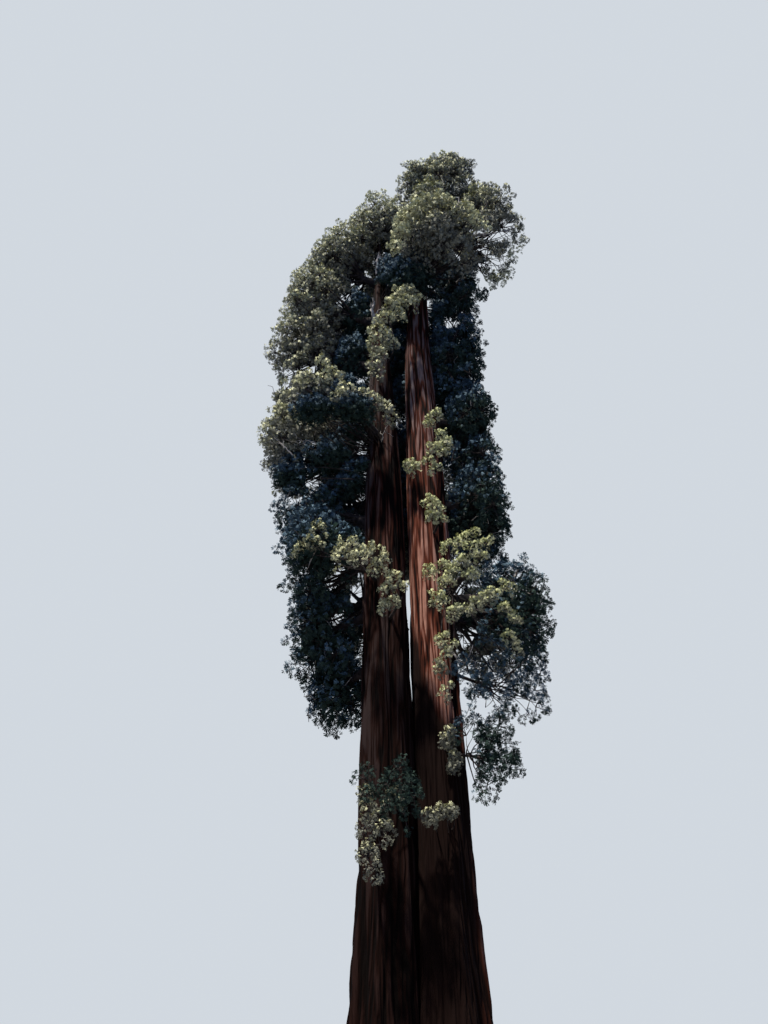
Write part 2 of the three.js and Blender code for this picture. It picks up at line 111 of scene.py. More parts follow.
# How a mass is filled. Its reach is its furthest puff's, as a share of the half sizes, and open, square
# and lumps go from 0 to 1. Its blue-green is the painted shade of the shaded side; light and under give
# painted light to its sprays and painted shade to its underside, and near is how far from the stem it
# is painted in shade.
curtain = {"reach": 0.86, "hang": 0.4, "square": 0.8, "dusk": True}
usualHabit = {
    "reach": 0.84, "open": 0, "hang": 0.1, "square": 0, "light": 0, "dusk": False, "fine": 1,
    "move": (0, 0, 0), "scale": (1, 1, 1), "lumps": 0.4, "under": 0, "near": 0, "clump": (0.36, 0.52),
}
habits = {
    "top": {"reach": 0.95, "move": (0.35, 0.2, -0.8), "scale": (0.93, 0.85, 0.9), "light": -0.05},
    "head_front": {
        "reach": 0.88, "light": 0.15, "move": (0, 0.1, -0.6), "scale": (1, 0.86, 0.88), "under": 0.6,
    },
    "head_right": {"reach": 0.92, "open": 0.3, "hang": 0.4, "light": -0.35, "under": 0.8},
    "left_top": {"light": 0.25, "lumps": 0.5, "move": (0.6, 0, -0.4)},
    "left_shoulder": {"light": 0.2, "lumps": 0.5, "near": 2.6},
    "left_a": {"light": 0.2, "lumps": 0.5, "near": 3.4},
    "left_b": {"light": -0.1, "lumps": 0.5, "near": 4.2},
    "left_c": {"open": 0.3, "lumps": 0.5, "near": 4.6},
    "left_billow": {"light": -0.1, "under": 0.5, "clump": (0.45, 0.62)},
    "left_d": {"square": 0.3, "light": 0.05, "near": 5.6, "under": 0.6},
    "left_e": {"open": 0.15, "hang": 0.4, "square": 0.5, "dusk": True},
    "left_f": {"hang": 0.5, "square": 0.6, "dusk": True},
    "left_puff": {"light": 0.2, "fine": 0.65, "clump": (0.32, 0.46)},
    "left_g": {"hang": 0.6, "square": 0.7, "dusk": True},
    "left_h": {"hang": 0.6, "square": 0.5, "dusk": True, "scale": (0.9, 1, 0.8), "move": (0, 0, 0.6)},
    "stem_front": {"hang": 0.3, "light": 0.2, "clump": (0.45, 0.6)},
    "stem_puff": {"light": 0.15, "fine": 0.65, "clump": (0.3, 0.42)},
    "right_a": {**curtain, "square": 0.7, "light": -0.1},
    "right_b": {**curtain, "light": -0.1},
    "right_c": {**curtain, "light": -0.15},
    "right_d": {**curtain, "light": -0.15},
    "right_puff_a": {"light": 0.2, "fine": 0.75, "clump": (0.26, 0.4)},
    "right_puff_b": {"light": 0.15, "fine": 0.75, "clump": (0.26, 0.4)},
    "right_billow": {"light": 0.2, "fine": 0.65, "clump": (0.28, 0.42)},
    "right_e": {"reach": 0.86, "hang": 0.6, "square": 0.5, "dusk": True, "light": -0.3},
    "right_f": {"hang": 1, "dusk": True, "fine": 0.8, "clump": (0.38, 0.54)},
    "low_right": {
        "hang": 1, "dusk": True, "light": -0.7, "fine": 0.9, "clump": (0.5, 0.68), "move": (-0.2, 0, 0),
    },
    "low_front": {"hang": 0.7, "dusk": True, "light": -1.5, "fine": 0.7},
    "low_left": {"hang": 0.8, "light": -0.8, "fine": 0.6},
}
# Masses that are loose chains of clumps, with the middle of each clump
chains = {
    "left_billow": [
        (-7.5, -3, 38), (-6.8, -3.4, 38.5), (-6, -3.6, 38.9), (-5.3, -4, 38.9), (-5.2, -4.2, 37.6),
        (-4.5, -3.8, 38.3), (-3.6, -3.8, 37.3), (-6.5, -4.2, 36.8), (-2.8, -3.4, 37.1), (-2, -3, 37),
        (-1.3, -2.6, 36.7), (-1.1, -2.4, 36.1), (-4, -4, 36.4), (-7.1, -3.6, 37.2), (-5.9, -4.2, 37.9),
    ],
    "left_puff": [
        (-4.9, -3.4, 26.6), (-5.2, -3.4, 25.8), (-4.7, -3.4, 25.7), (-5.8, -3, 25.5), (-3.5, -4, 24.9),
        (-3, -4.2, 24.9), (-2.3, -4, 24.7), (-1.8, -3.8, 24.8), (-1.5, -3.6, 24.4), (-3.4, -4.2, 24.1),
        (-1.7, -3.6, 23.8), (-3.5, -4, 23.4), (-2.6, -4.4, 24),
    ],
    "stem_front": [
        (0.6, -2.5, 49), (-0.3, -2.9, 48), (-0.9, -3.1, 46.6), (0.1, -3.2, 46.7), (0.9, -2.5, 47.6),
        (-1.2, -2.9, 45.4), (-1.8, -2.5, 44.8), (-1.3, -2.7, 43.7), (-1.9, -2.3, 43.4),
        (-1.5, -2.3, 42.3), (-0.9, -2.2, 43.4), (-2, -2, 41.8), (-0.3, -2.6, 45.9), (0.2, -2.7, 48.6),
        (-1.7, -2.1, 41),
    ],
    "stem_puff": [
        (-0.8, -3.4, 23.5), (-1.1, -3.3, 22.9), (-0.6, -3.2, 23), (-0.9, -3.2, 22.2), (-1.3, -3, 22),
    ],
    "right_puff_a": [
        (1.9, -2.6, 36.3), (1.5, -2.2, 35.9), (2.1, -3, 34), (2.4, -3, 33.4), (2, -3, 32.7),
        (1.6, -2.8, 33.2), (1.3, -2.4, 32.5), (0.2, -2, 32.6), (0.5, -2, 32.2), (1.7, -2.4, 31.8),
    ],
    "right_puff_b": [(1.3, -2.6, 29.2), (1.6, -2.8, 28.6), (1.3, -2.6, 28.2), (1.8, -2.6, 27.9)],
    "right_billow": [
        (2, -3.4, 25.4), (2.7, -4, 25.4), (3.3, -4.2, 25.7), (4, -3.8, 25.4), (3.1, -4.4, 24.6),
        (3.5, -4.2, 24.2), (2.6, -4.2, 24), (2.2, -3.8, 23.6), (3, -4, 23.3), (1.6, -3, 24.3),
        (1.1, -2.6, 24.4), (1.8, -3.2, 23.3), (1.4, -2.8, 22.7), (1.7, -3, 22.3), (4, -4, 22.1),
        (3.6, -4, 21.8), (4.9, -3.4, 22.9), (2.7, -3.4, 21.5), (2.2, -3.2, 21.6), (3.2, -3.6, 21.7),
        (4.7, -3.2, 21.8), (5.1, -3, 21.3), (1.6, -2.6, 20.4), (2, -2.6, 20), (1.7, -2.4, 19.5),
        (1.5, -2.2, 19.1), (1.8, -1.9, 18), (4.8, -2.8, 20.3), (5.1, -2.6, 19.8),
    ],
    "right_f": [
        (2.8, -1.8, 20.8), (3.5, -1.6, 21), (4.5, -1.4, 20.5), (5.7, -1, 21.3), (6.4, -0.8, 22),
        (4.1, -1.6, 19), (5, -1.2, 19.8), (5.9, -0.8, 20.2), (6.5, -0.6, 20.9), (2.4, -2, 19.2),
        (2.8, -2, 18.5), (2.4, -1.8, 18.1), (3.2, -1.8, 17.7), (3.5, -1.8, 17.2), (3.9, -1.6, 18.2),
        (4.5, -1.4, 17.5), (5.1, -1.2, 18.4), (5.1, -1.2, 17.3), (5.9, -0.8, 18.1), (6.1, -0.8, 17.7),
        (2.8, -1.8, 17.4), (5.8, -0.8, 19.1), (6.6, -0.4, 19.6), (5.6, -0.9, 19.9), (4.4, -1.5, 19.9),
        (4.6, 0.3, 19.6), (5.4, 0.5, 18.8), (3.4, 0.2, 19), (3.8, 0.4, 20.4), (6.2, 0.6, 20.4),
        (5.6, -1, 17.4), (6.2, -0.7, 18.6), (4.8, -1.3, 17.8), (4.1, -1.6, 17.2), (5.3, -1.1, 18.9),
        (6.4, -0.5, 18),
    ],
    "low_right": [
        (3.3, -1.6, 15.6), (3.9, -1.4, 16), (4.1, -1.4, 15.3), (3.5, -1.6, 14.6), (4, -1.5, 14.3),
        (3.3, -1.6, 13.6), (2.8, -1.6, 15.8), (3.8, -1.3, 15), (3.7, -0.8, 14), (4.2, -0.9, 14.7),
        (3.6, -1.6, 15.2), (3.8, -1.5, 14.6), (3.3, -1.5, 14.2), (4.2, -1.2, 15.7), (3.5, -1.2, 14.9),
        (4.1, -1.5, 16.4), (3.1, -1.6, 14.9), (3.2, -1.6, 13.9), (4.4, -1.3, 14.4), (3.6, -1.6, 14.2),
        (4, -1.5, 15.1), (3.7, -1.4, 15.7), (2.5, -1.6, 15.9), (3.1, -1.5, 13.3), (3.5, -1.5, 15.4),
        (4.2, -1.3, 15), (3.6, -1, 14.5), (3.9, -1, 14.9),
    ],
    "low_front": [
        (-0.7, -3.2, 13.7), (-1.2, -3.4, 13), (-0.6, -3.6, 12.7), (-0.1, -3.4, 12.4),
        (-1.1, -3.4, 12.1), (-0.5, -3.4, 11.7), (-2.2, -2.6, 13.5), (-2, -2.8, 12.7),
        (-0.2, -2.9, 13.2),
    ],
    "low_left": [
        (-2, -2.8, 12), (-1.5, -3, 11.6), (-2.1, -3, 11.2), (-1.5, -3.2, 10.6), (-2, -3.2, 10.1),
        (-1.3, -3.1, 10.9), (-1.7, -3.2, 9.6), (-1, -3.2, 12.4), (-2.2, -2.7, 12.7),
    ],
}
# Lit ledges along the top of a mass, with painted light, as the middles of their clumps
ledges = {
    "head_front": [
        (-0.5, -5.4, 50.4), (-0.3, -5.6, 51.9), (0, -5.6, 53.4), (0.5, -5.6, 54.7), (1.1, -5.6, 55.6),
        (1.9, -5.6, 56.2), (2.7, -5.6, 56.1), (3.6, -5.6, 55.9), (4.4, -5.5, 55.4), (5, -5.4, 54.7),
        (5.5, -5.3, 53.7), (5.9, -5.1, 52.7), (0.2, -5.2, 52.6), (1.5, -5.2, 56), (3.1, -5.2, 56.3),
    ],
    "head_right": [
        (8.2, -1.7, 62.7), (9.1, -1.4, 62.1), (9.7, -1.1, 61.1), (9.7, -1.3, 58.9), (10, -0.5, 58.7),
        (9.6, 0.3, 58.6), (9.1, 0.2, 57), (8.9, 1, 56.8), (8.5, 1.5, 56.5), (7.6, 0.9, 55.4),
        (7, 1.2, 56.4), (8.3, 0.8, 57.9), (7.5, -0.4, 57.8), (6.9, 0.5, 57.5), (6.5, 1.3, 57.3),
        (7.9, -0.9, 58.4), (8.7, -0.3, 58.5), (7.3, -0.3, 59.4), (8.2, -1.7, 59.8), (7.5, -1.4, 61.4),
    ],
}
# Where the sky shows through the crown from the photograph's place: on the tree's middle plane, x, z,
# half width, half height, and how open it is
eye = np.array([-1.35, -36.3, 1.6])
gaps = np.array([
    (-4.3, 51.3, 0.6, 0.9, 0.9), (-6.9, 43.4, 1.3, 0.6, 0.75), (-8.6, 41.8, 0.7, 1.4, 0.65),
    (-3.2, 42.2, 0.3, 0.5, 0.9), (-0.4, 41.2, 0.2, 0.8, 0.4), (-0.6, 38, 0.2, 0.9, 0.4),
    (-9.2, 35.5, 0.3, 0.5, 0.7), (-7.7, 33.8, 0.6, 0.7, 0.4), (-6.9, 31.8, 0.9, 1.1, 0.25),
    (-6, 35.3, 0.5, 1.2, 0.35), (-5.8, 33, 0.5, 0.5, 0.6), (-2.9, 35.3, 0.4, 1.2, 0.8),
    (-2.9, 31.1, 0.2, 0.8, 0.8), (-3.8, 29.7, 0.5, 0.6, 0.5), (-4, 25.7, 0.6, 0.8, 0.6),
    (-3.1, 24.3, 0.6, 0.8, 0.8), (-2.5, 23.2, 0.2, 0.9, 0.7), (-3.5, 23.2, 0.8, 0.6, 0.5),
    (6.5, 60.9, 0.6, 0.6, 0.8), (8.3, 60.5, 1, 0.9, 0.75), (9.1, 62.2, 0.5, 0.5, 0.7),
    (8.3, 58.4, 1.2, 1.5, 0.5), (6.8, 58.8, 0.7, 1.2, 0.4), (4.5, 58.4, 0.3, 0.7, 0.7),
    (4.9, 56.7, 0.2, 0.9, 0.7), (7.1, 55.8, 0.7, 1.1, 0.5), (6.5, 54.3, 0.6, 1.1, 0.7),
    (2, 50.7, 0.3, 1, 0.6), (3.6, 48.9, 0.6, 0.8, 0.7), (2.2, 48.5, 0.4, 0.5, 0.5),
    (2.7, 24.7, 0.3, 0.6, 0.8), (2.7, 22.5, 0.2, 0.6, 0.8), (3.3, 21.2, 0.7, 1.3, 0.4),
    (4.3, 20.4, 0.7, 0.9, 0.35), (3.5, 18.9, 1.3, 0.8, 0.35), (5.6, 18.6, 0.6, 0.5, 0.2),
    (3, 18, 1.1, 0.3, 0.9), (2.8, 15.6, 0.2, 1.5, 0.8), (6, 27.9, 0.3, 0.7, 0.9),
    (-2.9, 54.6, 0.5, 0.5, 0.8), (-3.5, 53.4, 0.4, 0.6, 0.8), (-1, 53.6, 0.3, 0.4, 0.8),
    (-7.3, 54.5, 0.4, 0.5, 0.6),
])
# How far the crown reaches left and right at a few heights
edges = {
    "height": (
        10, 14, 18.7, 21.5, 24.7, 27.4, 29.6, 31.9, 34.4, 37.1, 41.9, 46.2, 52.3, 57, 63.8, 66.5, 69, 75,
    ),
    "left": (
        -4.5, -4.5, -6.1, -6.8, -7.2, -7.8, -8.2, -8.8, -10, -10.7, -10.5, -10.6, -9.7, -8.7, -6.1, -4.8,
        -1.6, 0.4,
    ),
    "right": (
        5.6, 5.9, 7, 7.8, 7.5, 6.9, 6.5, 6.7, 6.4, 6.2, 6.3, 6, 6.1, 10, 11, 9.8, 8.8, 7.4,
    ),
}
massNames = list(masses)
backHabit = {"scale": (1.04, 0.93, 1.15), "lumps": 0.5}
allHabits = {
    name: {**usualHabit, **(backHabit if mass["part"] == "back" else {}), **habits.get(name, {})}
    for name, mass in masses.items()
}
hubs = np.array([np.add(mass["middle"], allHabits[name]["move"]) for name, mass in masses.items()])
halves = np.array([np.multiply(mass["half"], allHabits[name]["scale"]) for name, mass in masses.items()])
roundSizes = np.cbrt(halves.prod(axis=1))


# A socket of a material's nodes, so that a pattern can be written as a sum
class Wire:
    def __init__(self, paint, socket):
        self.paint, self.socket = paint, socket

    def sum(self, operation, first, second):
        return self.paint.node("ShaderNodeMath", {"operation": operation}, {0: first, 1: second})[0]

    def __add__(self, other):
        return self.sum("ADD", self, other)

    def __sub__(self, other):
        return self.sum("SUBTRACT", self, other)

    def __mul__(self, other):
        return self.sum("MULTIPLY", self, other)


# A material under construction: every node is added by one method
class Paint:
    def __init__(self, name, roughness, shine=0.15):
        self.material = bpy.data.materials.new(name)
        self.material.use_nodes = True
        self.tree = self.material.node_tree
        self.shader = next(node for node in self.tree.nodes if node.type == "BSDF_PRINCIPLED")
        self.shader.inputs["Roughness"].default_value = roughness
        self.shader.inputs["Specular IOR Level"].default_value = shine

    def node(self, kind, settings=None, values=None):
        made = self.tree.nodes.new(kind)
        for key, value in (settings or {}).items():
            if key == "stops":
                while len(made.color_ramp.elements) < len(value):
                    made.color_ramp.elements.new(1)
                for element, (place, colour) in zip(made.color_ramp.elements, value):
                    element.position, element.color = place, (*colour, 1)
            else:
                setattr(made, key, value)
        for key, value in (values or {}).items():
            self.set(made.inputs[key], value)
        return [Wire(self, socket) for socket in made.outputs]

    def set(self, socket, value):
        if isinstance(value, Wire):
            self.tree.links.new(value.socket, socket)
        else:
            socket.default_value = value

    def place(self, stretch):
        where = self.node("ShaderNodeTexCoord")[3]
        return self.node("ShaderNodeMapping", None, {"Vector": where, "Scale": stretch})[0]

    def noise(self, stretch, scale, detail):
        values = {"Vector": self.place(stretch), "Scale": scale, "Detail": detail}
        return self.node("ShaderNodeTexNoise", None, values)[0]

    def ramp(self, amount, stops):
        return self.node("ShaderNodeValToRGB", {"stops": stops}, {"Fac": amount})[0]

    def mix(self, amount, first, second):
        settings = {"data_type": "RGBA"}
        return self.node("ShaderNodeMix", settings, {0: amount, 6: first, 7: second})[2]

    def bump(self, height, depth):
        made = self.node("ShaderNodeBump", None, {"Height": height, "Distance": depth, "Strength": 1})
        self.set(self.shader.inputs["Normal"], made[0])

    def colour(self, wire):
        self.set(self.shader.inputs["Base Color"], wire)


# Bark: shade is painted shade that darkens all of it, and below the heights in dim, as shares, painted
# shade makes it dark, scaled by low; a painted shadow, near black, lies where the left stem's shadow falls
def trunkPaint(name, shade, dim, low):
    look = {
        "crack": (0.004, 0.0015, 0.001), "shadedMid": (0.016, 0.0042, 0.002), "deep": (0.04, 0.01, 0.005),
        "red": (0.11, 0.028, 0.013), "ridge": (0.3, 0.125, 0.075), "grey": (0.09, 0.07, 0.066),
        "shadowBlack": (0.005, 0.0022, 0.0016),
    }
    look = {key: tuple(shade * part for part in value) for key, value in look.items()}
    paint = Paint(name, 0.95, 0.04)
    relief = paint.node("ShaderNodeAttribute", {"attribute_name": "relief"})[2]
    fibre = paint.noise((22, 22, 1.4), 1, 4)
    patch = paint.noise((0.5, 0.5, 0.09), 1, 2)
    height = paint.node("ShaderNodeAttribute", {"attribute_name": "height"})[2]
    tone = relief * 1.45 + fibre * 0.6 - 0.7
    warm = paint.ramp(tone, [
        (0.2, look["crack"]), (0.42, look["deep"]), (0.68, look["red"]), (0.95, look["ridge"]),
    ])
    # painted shade: below the heights in dim the bark turns to this dark ramp, scaled by low
    shadedMid, deep = (tuple(low * part for part in look[key]) for key in ("shadedMid", "deep"))
    dark = paint.ramp(tone, [(0.2, look["crack"]), (0.55, shadedMid), (0.9, deep)])
    warm = paint.mix(paint.ramp(height, [(dim[0], (1, 1, 1)), (dim[1], (0, 0, 0))]), warm, dark)
    cold = paint.ramp(tone, [(0.2, look["crack"]), (0.55, look["deep"]), (0.95, look["grey"])])
    # painted shadow: where the left stem's shadow falls on the right stem, the bark is painted near black
    char = paint.node("ShaderNodeAttribute", {"attribute_name": "char"})[2]
    shadowBlack = paint.ramp(tone, [(0.3, look["crack"]), (0.95, look["shadowBlack"])])
    paint.colour(paint.mix(char, paint.mix(height * patch * 2.8, warm, cold), shadowBlack))
    paint.bump(fibre, 0.05)
    return paint.material


# Colours by a fine noise, which also raises the surface by depth
def grainPaint(name, roughness, shine, stretch, scale, detail, stops, depth=0):
    paint = Paint(name, roughness, shine)
    grain = paint.noise(stretch, scale, detail)
    paint.colour(paint.ramp(grain, stops))
    if depth:
        paint.bump(grain, depth)
    return paint.material


def leafPaint(name, dark, light, shine=0.12):
    return grainPaint(name, 0.7, shine, (1, 1, 1), 5.5, 2, [(0.35, dark), (0.65, light)])


# painted shade: the left stem's bark is darkened all over, and more so further down
stemBark = {
    "left": trunkPaint("bark of the shaded stem", 0.33, (0.36, 0.47), 0.52),
    "right": trunkPaint("bark of the sunny stem", 1, (0.22, 0.36), 0.9),
}
limbBark = grainPaint("limb bark", 0.9, 0.15, (1, 1, 1), 7, 4, [
    (0.3, (0.004, 0.003, 0.0025)), (0.5, (0.013, 0.009, 0.008)), (0.72, (0.04, 0.03, 0.026)),
], 0.01)
deadWood = grainPaint("bare dead wood", 0.8, 0.15, (1, 1, 0.3), 9, 3, [
    (0.35, (0.1, 0.085, 0.072)), (0.6, (0.3, 0.27, 0.24)),
], 0.006)
# Lit, half-lit (green) and shaded (inner, shade) copies of the leaf colour: painted light and shade, dealt
# out by spray
leafPaints = {
    "tips": leafPaint("lit tips", (0.29, 0.285, 0.15), (0.42, 0.41, 0.225)),
    "green": leafPaint("green sprays", (0.2, 0.196, 0.118), (0.35, 0.34, 0.2)),
    "inner": leafPaint("sprays in painted inner shade", (0.06, 0.06, 0.047), (0.17, 0.167, 0.12)),
    # painted shade: the blue-green of sprays on the shaded side, lit by the sky alone
    "dusk": leafPaint("sprays in painted blue shade", (0.017, 0.033, 0.045), (0.062, 0.098, 0.122), 0.05),
    "shade": leafPaint("shaded sprays", (0.008, 0.016, 0.013), (0.025, 0.039, 0.031), 0.03),
}
# painted light: a warmer copy of the lit tips, for the right part
warmTips = leafPaint("warm tips", (0.26, 0.265, 0.12), (0.37, 0.375, 0.18))
print("materials made")


def finishPiece(piece, nodes, material):
    piece.data.materials.clear()
    piece.data.materials.append(material)
    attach(piece, "root")
    if nodes:
        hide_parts(*nodes)


# A piece from arrays of points, in metres of the real tree, and of faces
def joined(name, points, faces, normals=None):
    mesh = bpy.data.meshes.new(name)
    mesh.vertices.add(len(points))
    mesh.vertices.foreach_set("co", (points * metre).astype(np.float32).ravel())
    mesh.loops.add(faces.size)
    mesh.loops.foreach_set("vertex_index", faces.astype(np.int32).ravel())
    mesh.polygons.add(len(faces))
    mesh.polygons.foreach_set("loop_start", np.arange(0, faces.size, faces.shape[1], dtype=np.int32))
    mesh.polygons.foreach_set("use_smooth", np.ones(len(faces), bool))
    mesh.update(calc_edges=True)
    mesh.validate()
    if normals is not None:
        mesh.normals_split_custom_set_from_vertices(normals.astype(np.float32))
    piece = bpy.data.objects.new(name, mesh)
    bpy.context.scene.collection.objects.link(piece)
    return piece


# A stem's centre and bark radius at each of some heights
def stemAt(name, z):
    line = stems[name]["line"]
    x, y, r = (np.interp(z, line[:, 0], line[:, k]) for k in (1, 2, 3))
    return x, y, r + trunkShape["flare"] * np.exp(-np.asarray(z) / trunkShape["flareHeight"])


def stemTop(name):
    return stems[name]["line"][-1, 0]


trunkShape = {
    "sides": 380, "rings": (15, 15), "crowding": 1.15, "lobeDepth": 0.1, "lobeHeight": 14,
    "flare": 1.15, "flareHeight": 2.6, "furrowHeight": 26, "middleRelief": 0.7,
    "furrow": 0.28, "leastFurrow": 0.1, "spacing": 1.9, "stretch": 0.12, "twist": 0.01,
    # painted shadow of the left stem on the right stem, near black: heights, and how far it reaches from
    # the left at each
    "char": ((11, 15.2, 16.4, 17.5, 18.6, 21.3, 23, 25), (2.7, 2.9, 1.9, 1.3, 0.95, 0.55, 0.15, -1)),
}


# How far the bark stands, from 0 in a furrow to 1 on a ridge: long furrows that wander, part and meet
def barkRelief(x, y, z, seed):
    twist = trunkShape["twist"] * z
    spacing, stretch = trunkShape["spacing"], trunkShape["stretch"]
    u, w = x * math.cos(twist) - y * math.sin(twist), x * math.sin(twist) + y * math.cos(twist)
    broad, fine, rough, sway = (
        noise.noise(Vector((u * across, w * across, z * up + seed)))
        for across, up in ((spacing, stretch), (spacing * 2.4, stretch * 2.6), (9, 1.5), (0.6, 0.06))
    )
    ridge = min(1, abs(broad) / 0.26) ** 0.9
    strand = min(1, abs(fine) / 0.3) ** 0.9
    return 0.44 * ridge + 0.38 * strand + 0.1 * rough + 0.14 * (sway + 0.5)


# A cylinder cut into rings, whose points then move out to the stem's own line, lobes and furrows
def makeStem(name, seed):
    bpy.ops.object.select_all(action="DESELECT")
    bpy.ops.mesh.primitive_cylinder_add(vertices=trunkShape["sides"], radius=1, depth=1)
    piece = bpy.context.object
    piece.name = "trunk_" + name
    mesh = piece.data
    bpy.context.tool_settings.mesh_select_mode = (False, True, False)
    for cuts in trunkShape["rings"]:
        ends = np.array([edge.vertices[:] for edge in mesh.edges])
        points = np.array([point.co[:] for point in mesh.vertices])
        upright = abs(points[ends[:, 0], 2] - points[ends[:, 1], 2]) > 1e-5
        mesh.edges.foreach_set("select", upright)
        mesh.vertices.foreach_set("select", np.zeros(len(points), bool))
        mesh.polygons.foreach_set("select", np.zeros(len(mesh.polygons), bool))
        bpy.ops.object.mode_set(mode="EDIT")
        bpy.ops.mesh.subdivide(number_cuts=cuts)
        bpy.ops.object.mode_set(mode="OBJECT")
    flat = np.empty(len(mesh.vertices) * 3, np.float32)
    mesh.vertices.foreach_get("co", flat)
    points = flat.reshape(-1, 3).astype(float)
    stem, middle = stems[name], trunkShape["middleRelief"]
    z = stemTop(name) * np.clip(points[:, 2] + 0.5, 0, 1) ** trunkShape["crowding"]
    angle = np.arctan2(points[:, 1], points[:, 0])
    x, y, r = stemAt(name, z)
    lobes = np.cos(stem["lobes"] * angle + stem["turn"])
    r = r * (1 + (trunkShape["lobeDepth"] * np.exp(-z / trunkShape["lobeHeight"]) + 0.02) * lobes)
    relief = np.array([
        barkRelief(math.cos(a) * k, math.sin(a) * k, h, seed) for a, k, h in zip(angle, r, z)
    ])
    least, most = trunkShape["leastFurrow"], trunkShape["furrow"]
    depth = least + (most - least) * np.exp(-z / trunkShape["furrowHeight"])
    r = r + depth * np.minimum(1, r / 0.9) * (relief - middle)
    points = np.column_stack([x + r * np.cos(angle), y + r * np.sin(angle), z])
    mesh.vertices.foreach_set("co", (points * metre).astype(np.float32).ravel())
    # painted shadow of the left stem, cast on the front and left side of the right stem; the left stem
    # gets none
    char = np.interp(z, *trunkShape["char"]) - x - r * np.cos(angle) + 0.5 * (relief - middle)
    char = np.clip(char / 0.3, 0, 1 - np.clip(points[:, 1] - 0.3, 0, 1)) if name == "right" else char * 0
    for key, values in (("relief", relief), ("char", char), ("height", z / 60)):
        mesh.attributes.new(key, "FLOAT", "POINT").data.foreach_set("value", values.astype(np.float32))
    mesh.polygons.foreach_set("use_smooth", np.ones(len(mesh.polygons), bool))
    mesh.update()
    finishPiece(piece, ["trunk"], stemBark[name])


for seed, stemName in enumerate(stems):
    makeStem(stemName, 7.3 + 31 * seed)
print("stems made")


def massSpace(name):
    index = massNames.index(name)
    return hubs[index], halves[index]


# A limb's line from the stem's heart, as in the source
def planLimb(name):
    on, root, onBough = (masses[name][key] for key in ("stem", "root", "onBough"))
    middle, half = massSpace(name)
    x, y, r = stemAt(on, root)
    start = np.array([x, y, root])
    way = middle - start
    length = np.linalg.norm(way)
    inside = 0.8 * min(half[0], half[2]) if onBough else 0
    end = start + way * (1 - inside / length)
    bend = (start + end) / 2
    if root != stemTop(on):
        bend[2] -= 0.1 * length
    thick = {(True, False): 0.09, (True, True): 0.3, (False, False): 0.3, (False, True): 0.42}
    return {"line": (start, bend, end), "butt": min(thick[name in chains, onBough], r * 0.55)}


def alongLine(line, t):
    start, bend, end = line
    t = np.asarray(t)[..., None]
    return (1 - t) ** 2 * start + 2 * t * (1 - t) * bend + t ** 2 * end


limbs = {name: planLimb(name) for name in masses}


# Tapering tubes, each along its own row of points, joined in one array
def tubes(lines, radii, sides):
    count, steps = radii.shape
    way = np.gradient(lines, axis=1)
    way /= np.linalg.norm(way, axis=2, keepdims=True) + 1e-9
    main = lines[:, -1] - lines[:, 0]
    upright = abs(main[:, 2]) > 0.8 * np.linalg.norm(main, axis=1)
    reference = np.where(upright[:, None], (0, 1, 0), (0, 0, 1))[:, None]
    across = np.cross(way, reference)
    across /= np.linalg.norm(across, axis=2, keepdims=True) + 1e-9
    over = np.cross(across, way)
    turn = np.arange(sides) * 2 * math.pi / sides
    ring = np.cos(turn)[:, None] * across[:, :, None] + np.sin(turn)[:, None] * over[:, :, None]
    points = lines[:, :, None] + ring * radii[..., None, None]
    index = np.arange(count * steps * sides).reshape(count, steps, sides)
    low, high = index[:, :-1], index[:, 1:]
    faces = np.stack([low, high, np.roll(high, -1, 2), np.roll(low, -1, 2)], -1).reshape(-1, 4)
    return points.reshape(-1, 3), faces


def pile(parts):
    points, faces, total = [], [], 0
    for somePoints, someFaces in parts:
        points.append(somePoints)
        faces.append(someFaces + total)
        total += len(somePoints)
    return np.concatenate(points), np.concatenate(faces)


limbShape = {"sides": 12, "steps": 26, "collar": 0.6, "knots": 0.22, "seed": 1}


# The limbs on from the stems: a swollen collar at the bark, knots, and a thin end inside the mass.
# Unless it is seeded, noise_vector follows the clock, and the limbs sway otherwise at each run
def makeLimbs():
    noise.seed_set(limbShape["seed"])
    parts = []
    for name, limb in limbs.items():
        line = alongLine(limb["line"], np.linspace(0, 1, limbShape["steps"]))
        if masses[name]["onBough"]:
            onward = line[-1] + (line[-1] - line[-2]) * 4
            more = alongLine((line[-1], onward, massSpace(name)[0]), np.linspace(0.15, 1, 8))
            line = np.concatenate([line, more])
        reach = np.concatenate([[0], np.cumsum(np.linalg.norm(np.diff(line, axis=0), axis=1))])
        share = reach / reach[-1]
        radii = limb["butt"] * (1 - share) ** 0.8 + 0.03
        radii = radii * (1 + limbShape["collar"] * np.exp(-reach / 1.1))
        radii = radii * (1 + limbShape["knots"] * np.array([noise.noise(Vector(p) * 0.9) for p in line]))
        sway = np.array([noise.noise_vector(Vector(p) * 0.35) for p in line])
        sway = sway * 0.5 * np.sin(share * math.pi)[:, None]
        parts.append(tubes((line + sway)[None], radii[None], limbShape["sides"]))
    boughNodes = ["bough_" + name for name, mass in masses.items() if mass["onBough"]]
    finishPiece(joined("boughs", *pile(parts)), boughNodes, limbBark)


makeLimbs()
print("boughs made")


# How far inside its mass's own space each point lies
def insideSpace(points, index):
    own = ((points - hubs[index]) ** 2).sum(1) - roundSizes[index] ** 2
    least = np.full(len(points), 99.0)
    for k, name in enumerate(massNames):
        if k != index and name not in chains:
            span = np.linalg.norm(hubs[k] - hubs[index])
            power = ((points - hubs[k]) ** 2).sum(1) - roundSizes[k] ** 2
            least = np.minimum(least, (power - own) / (2 * span))
    return least


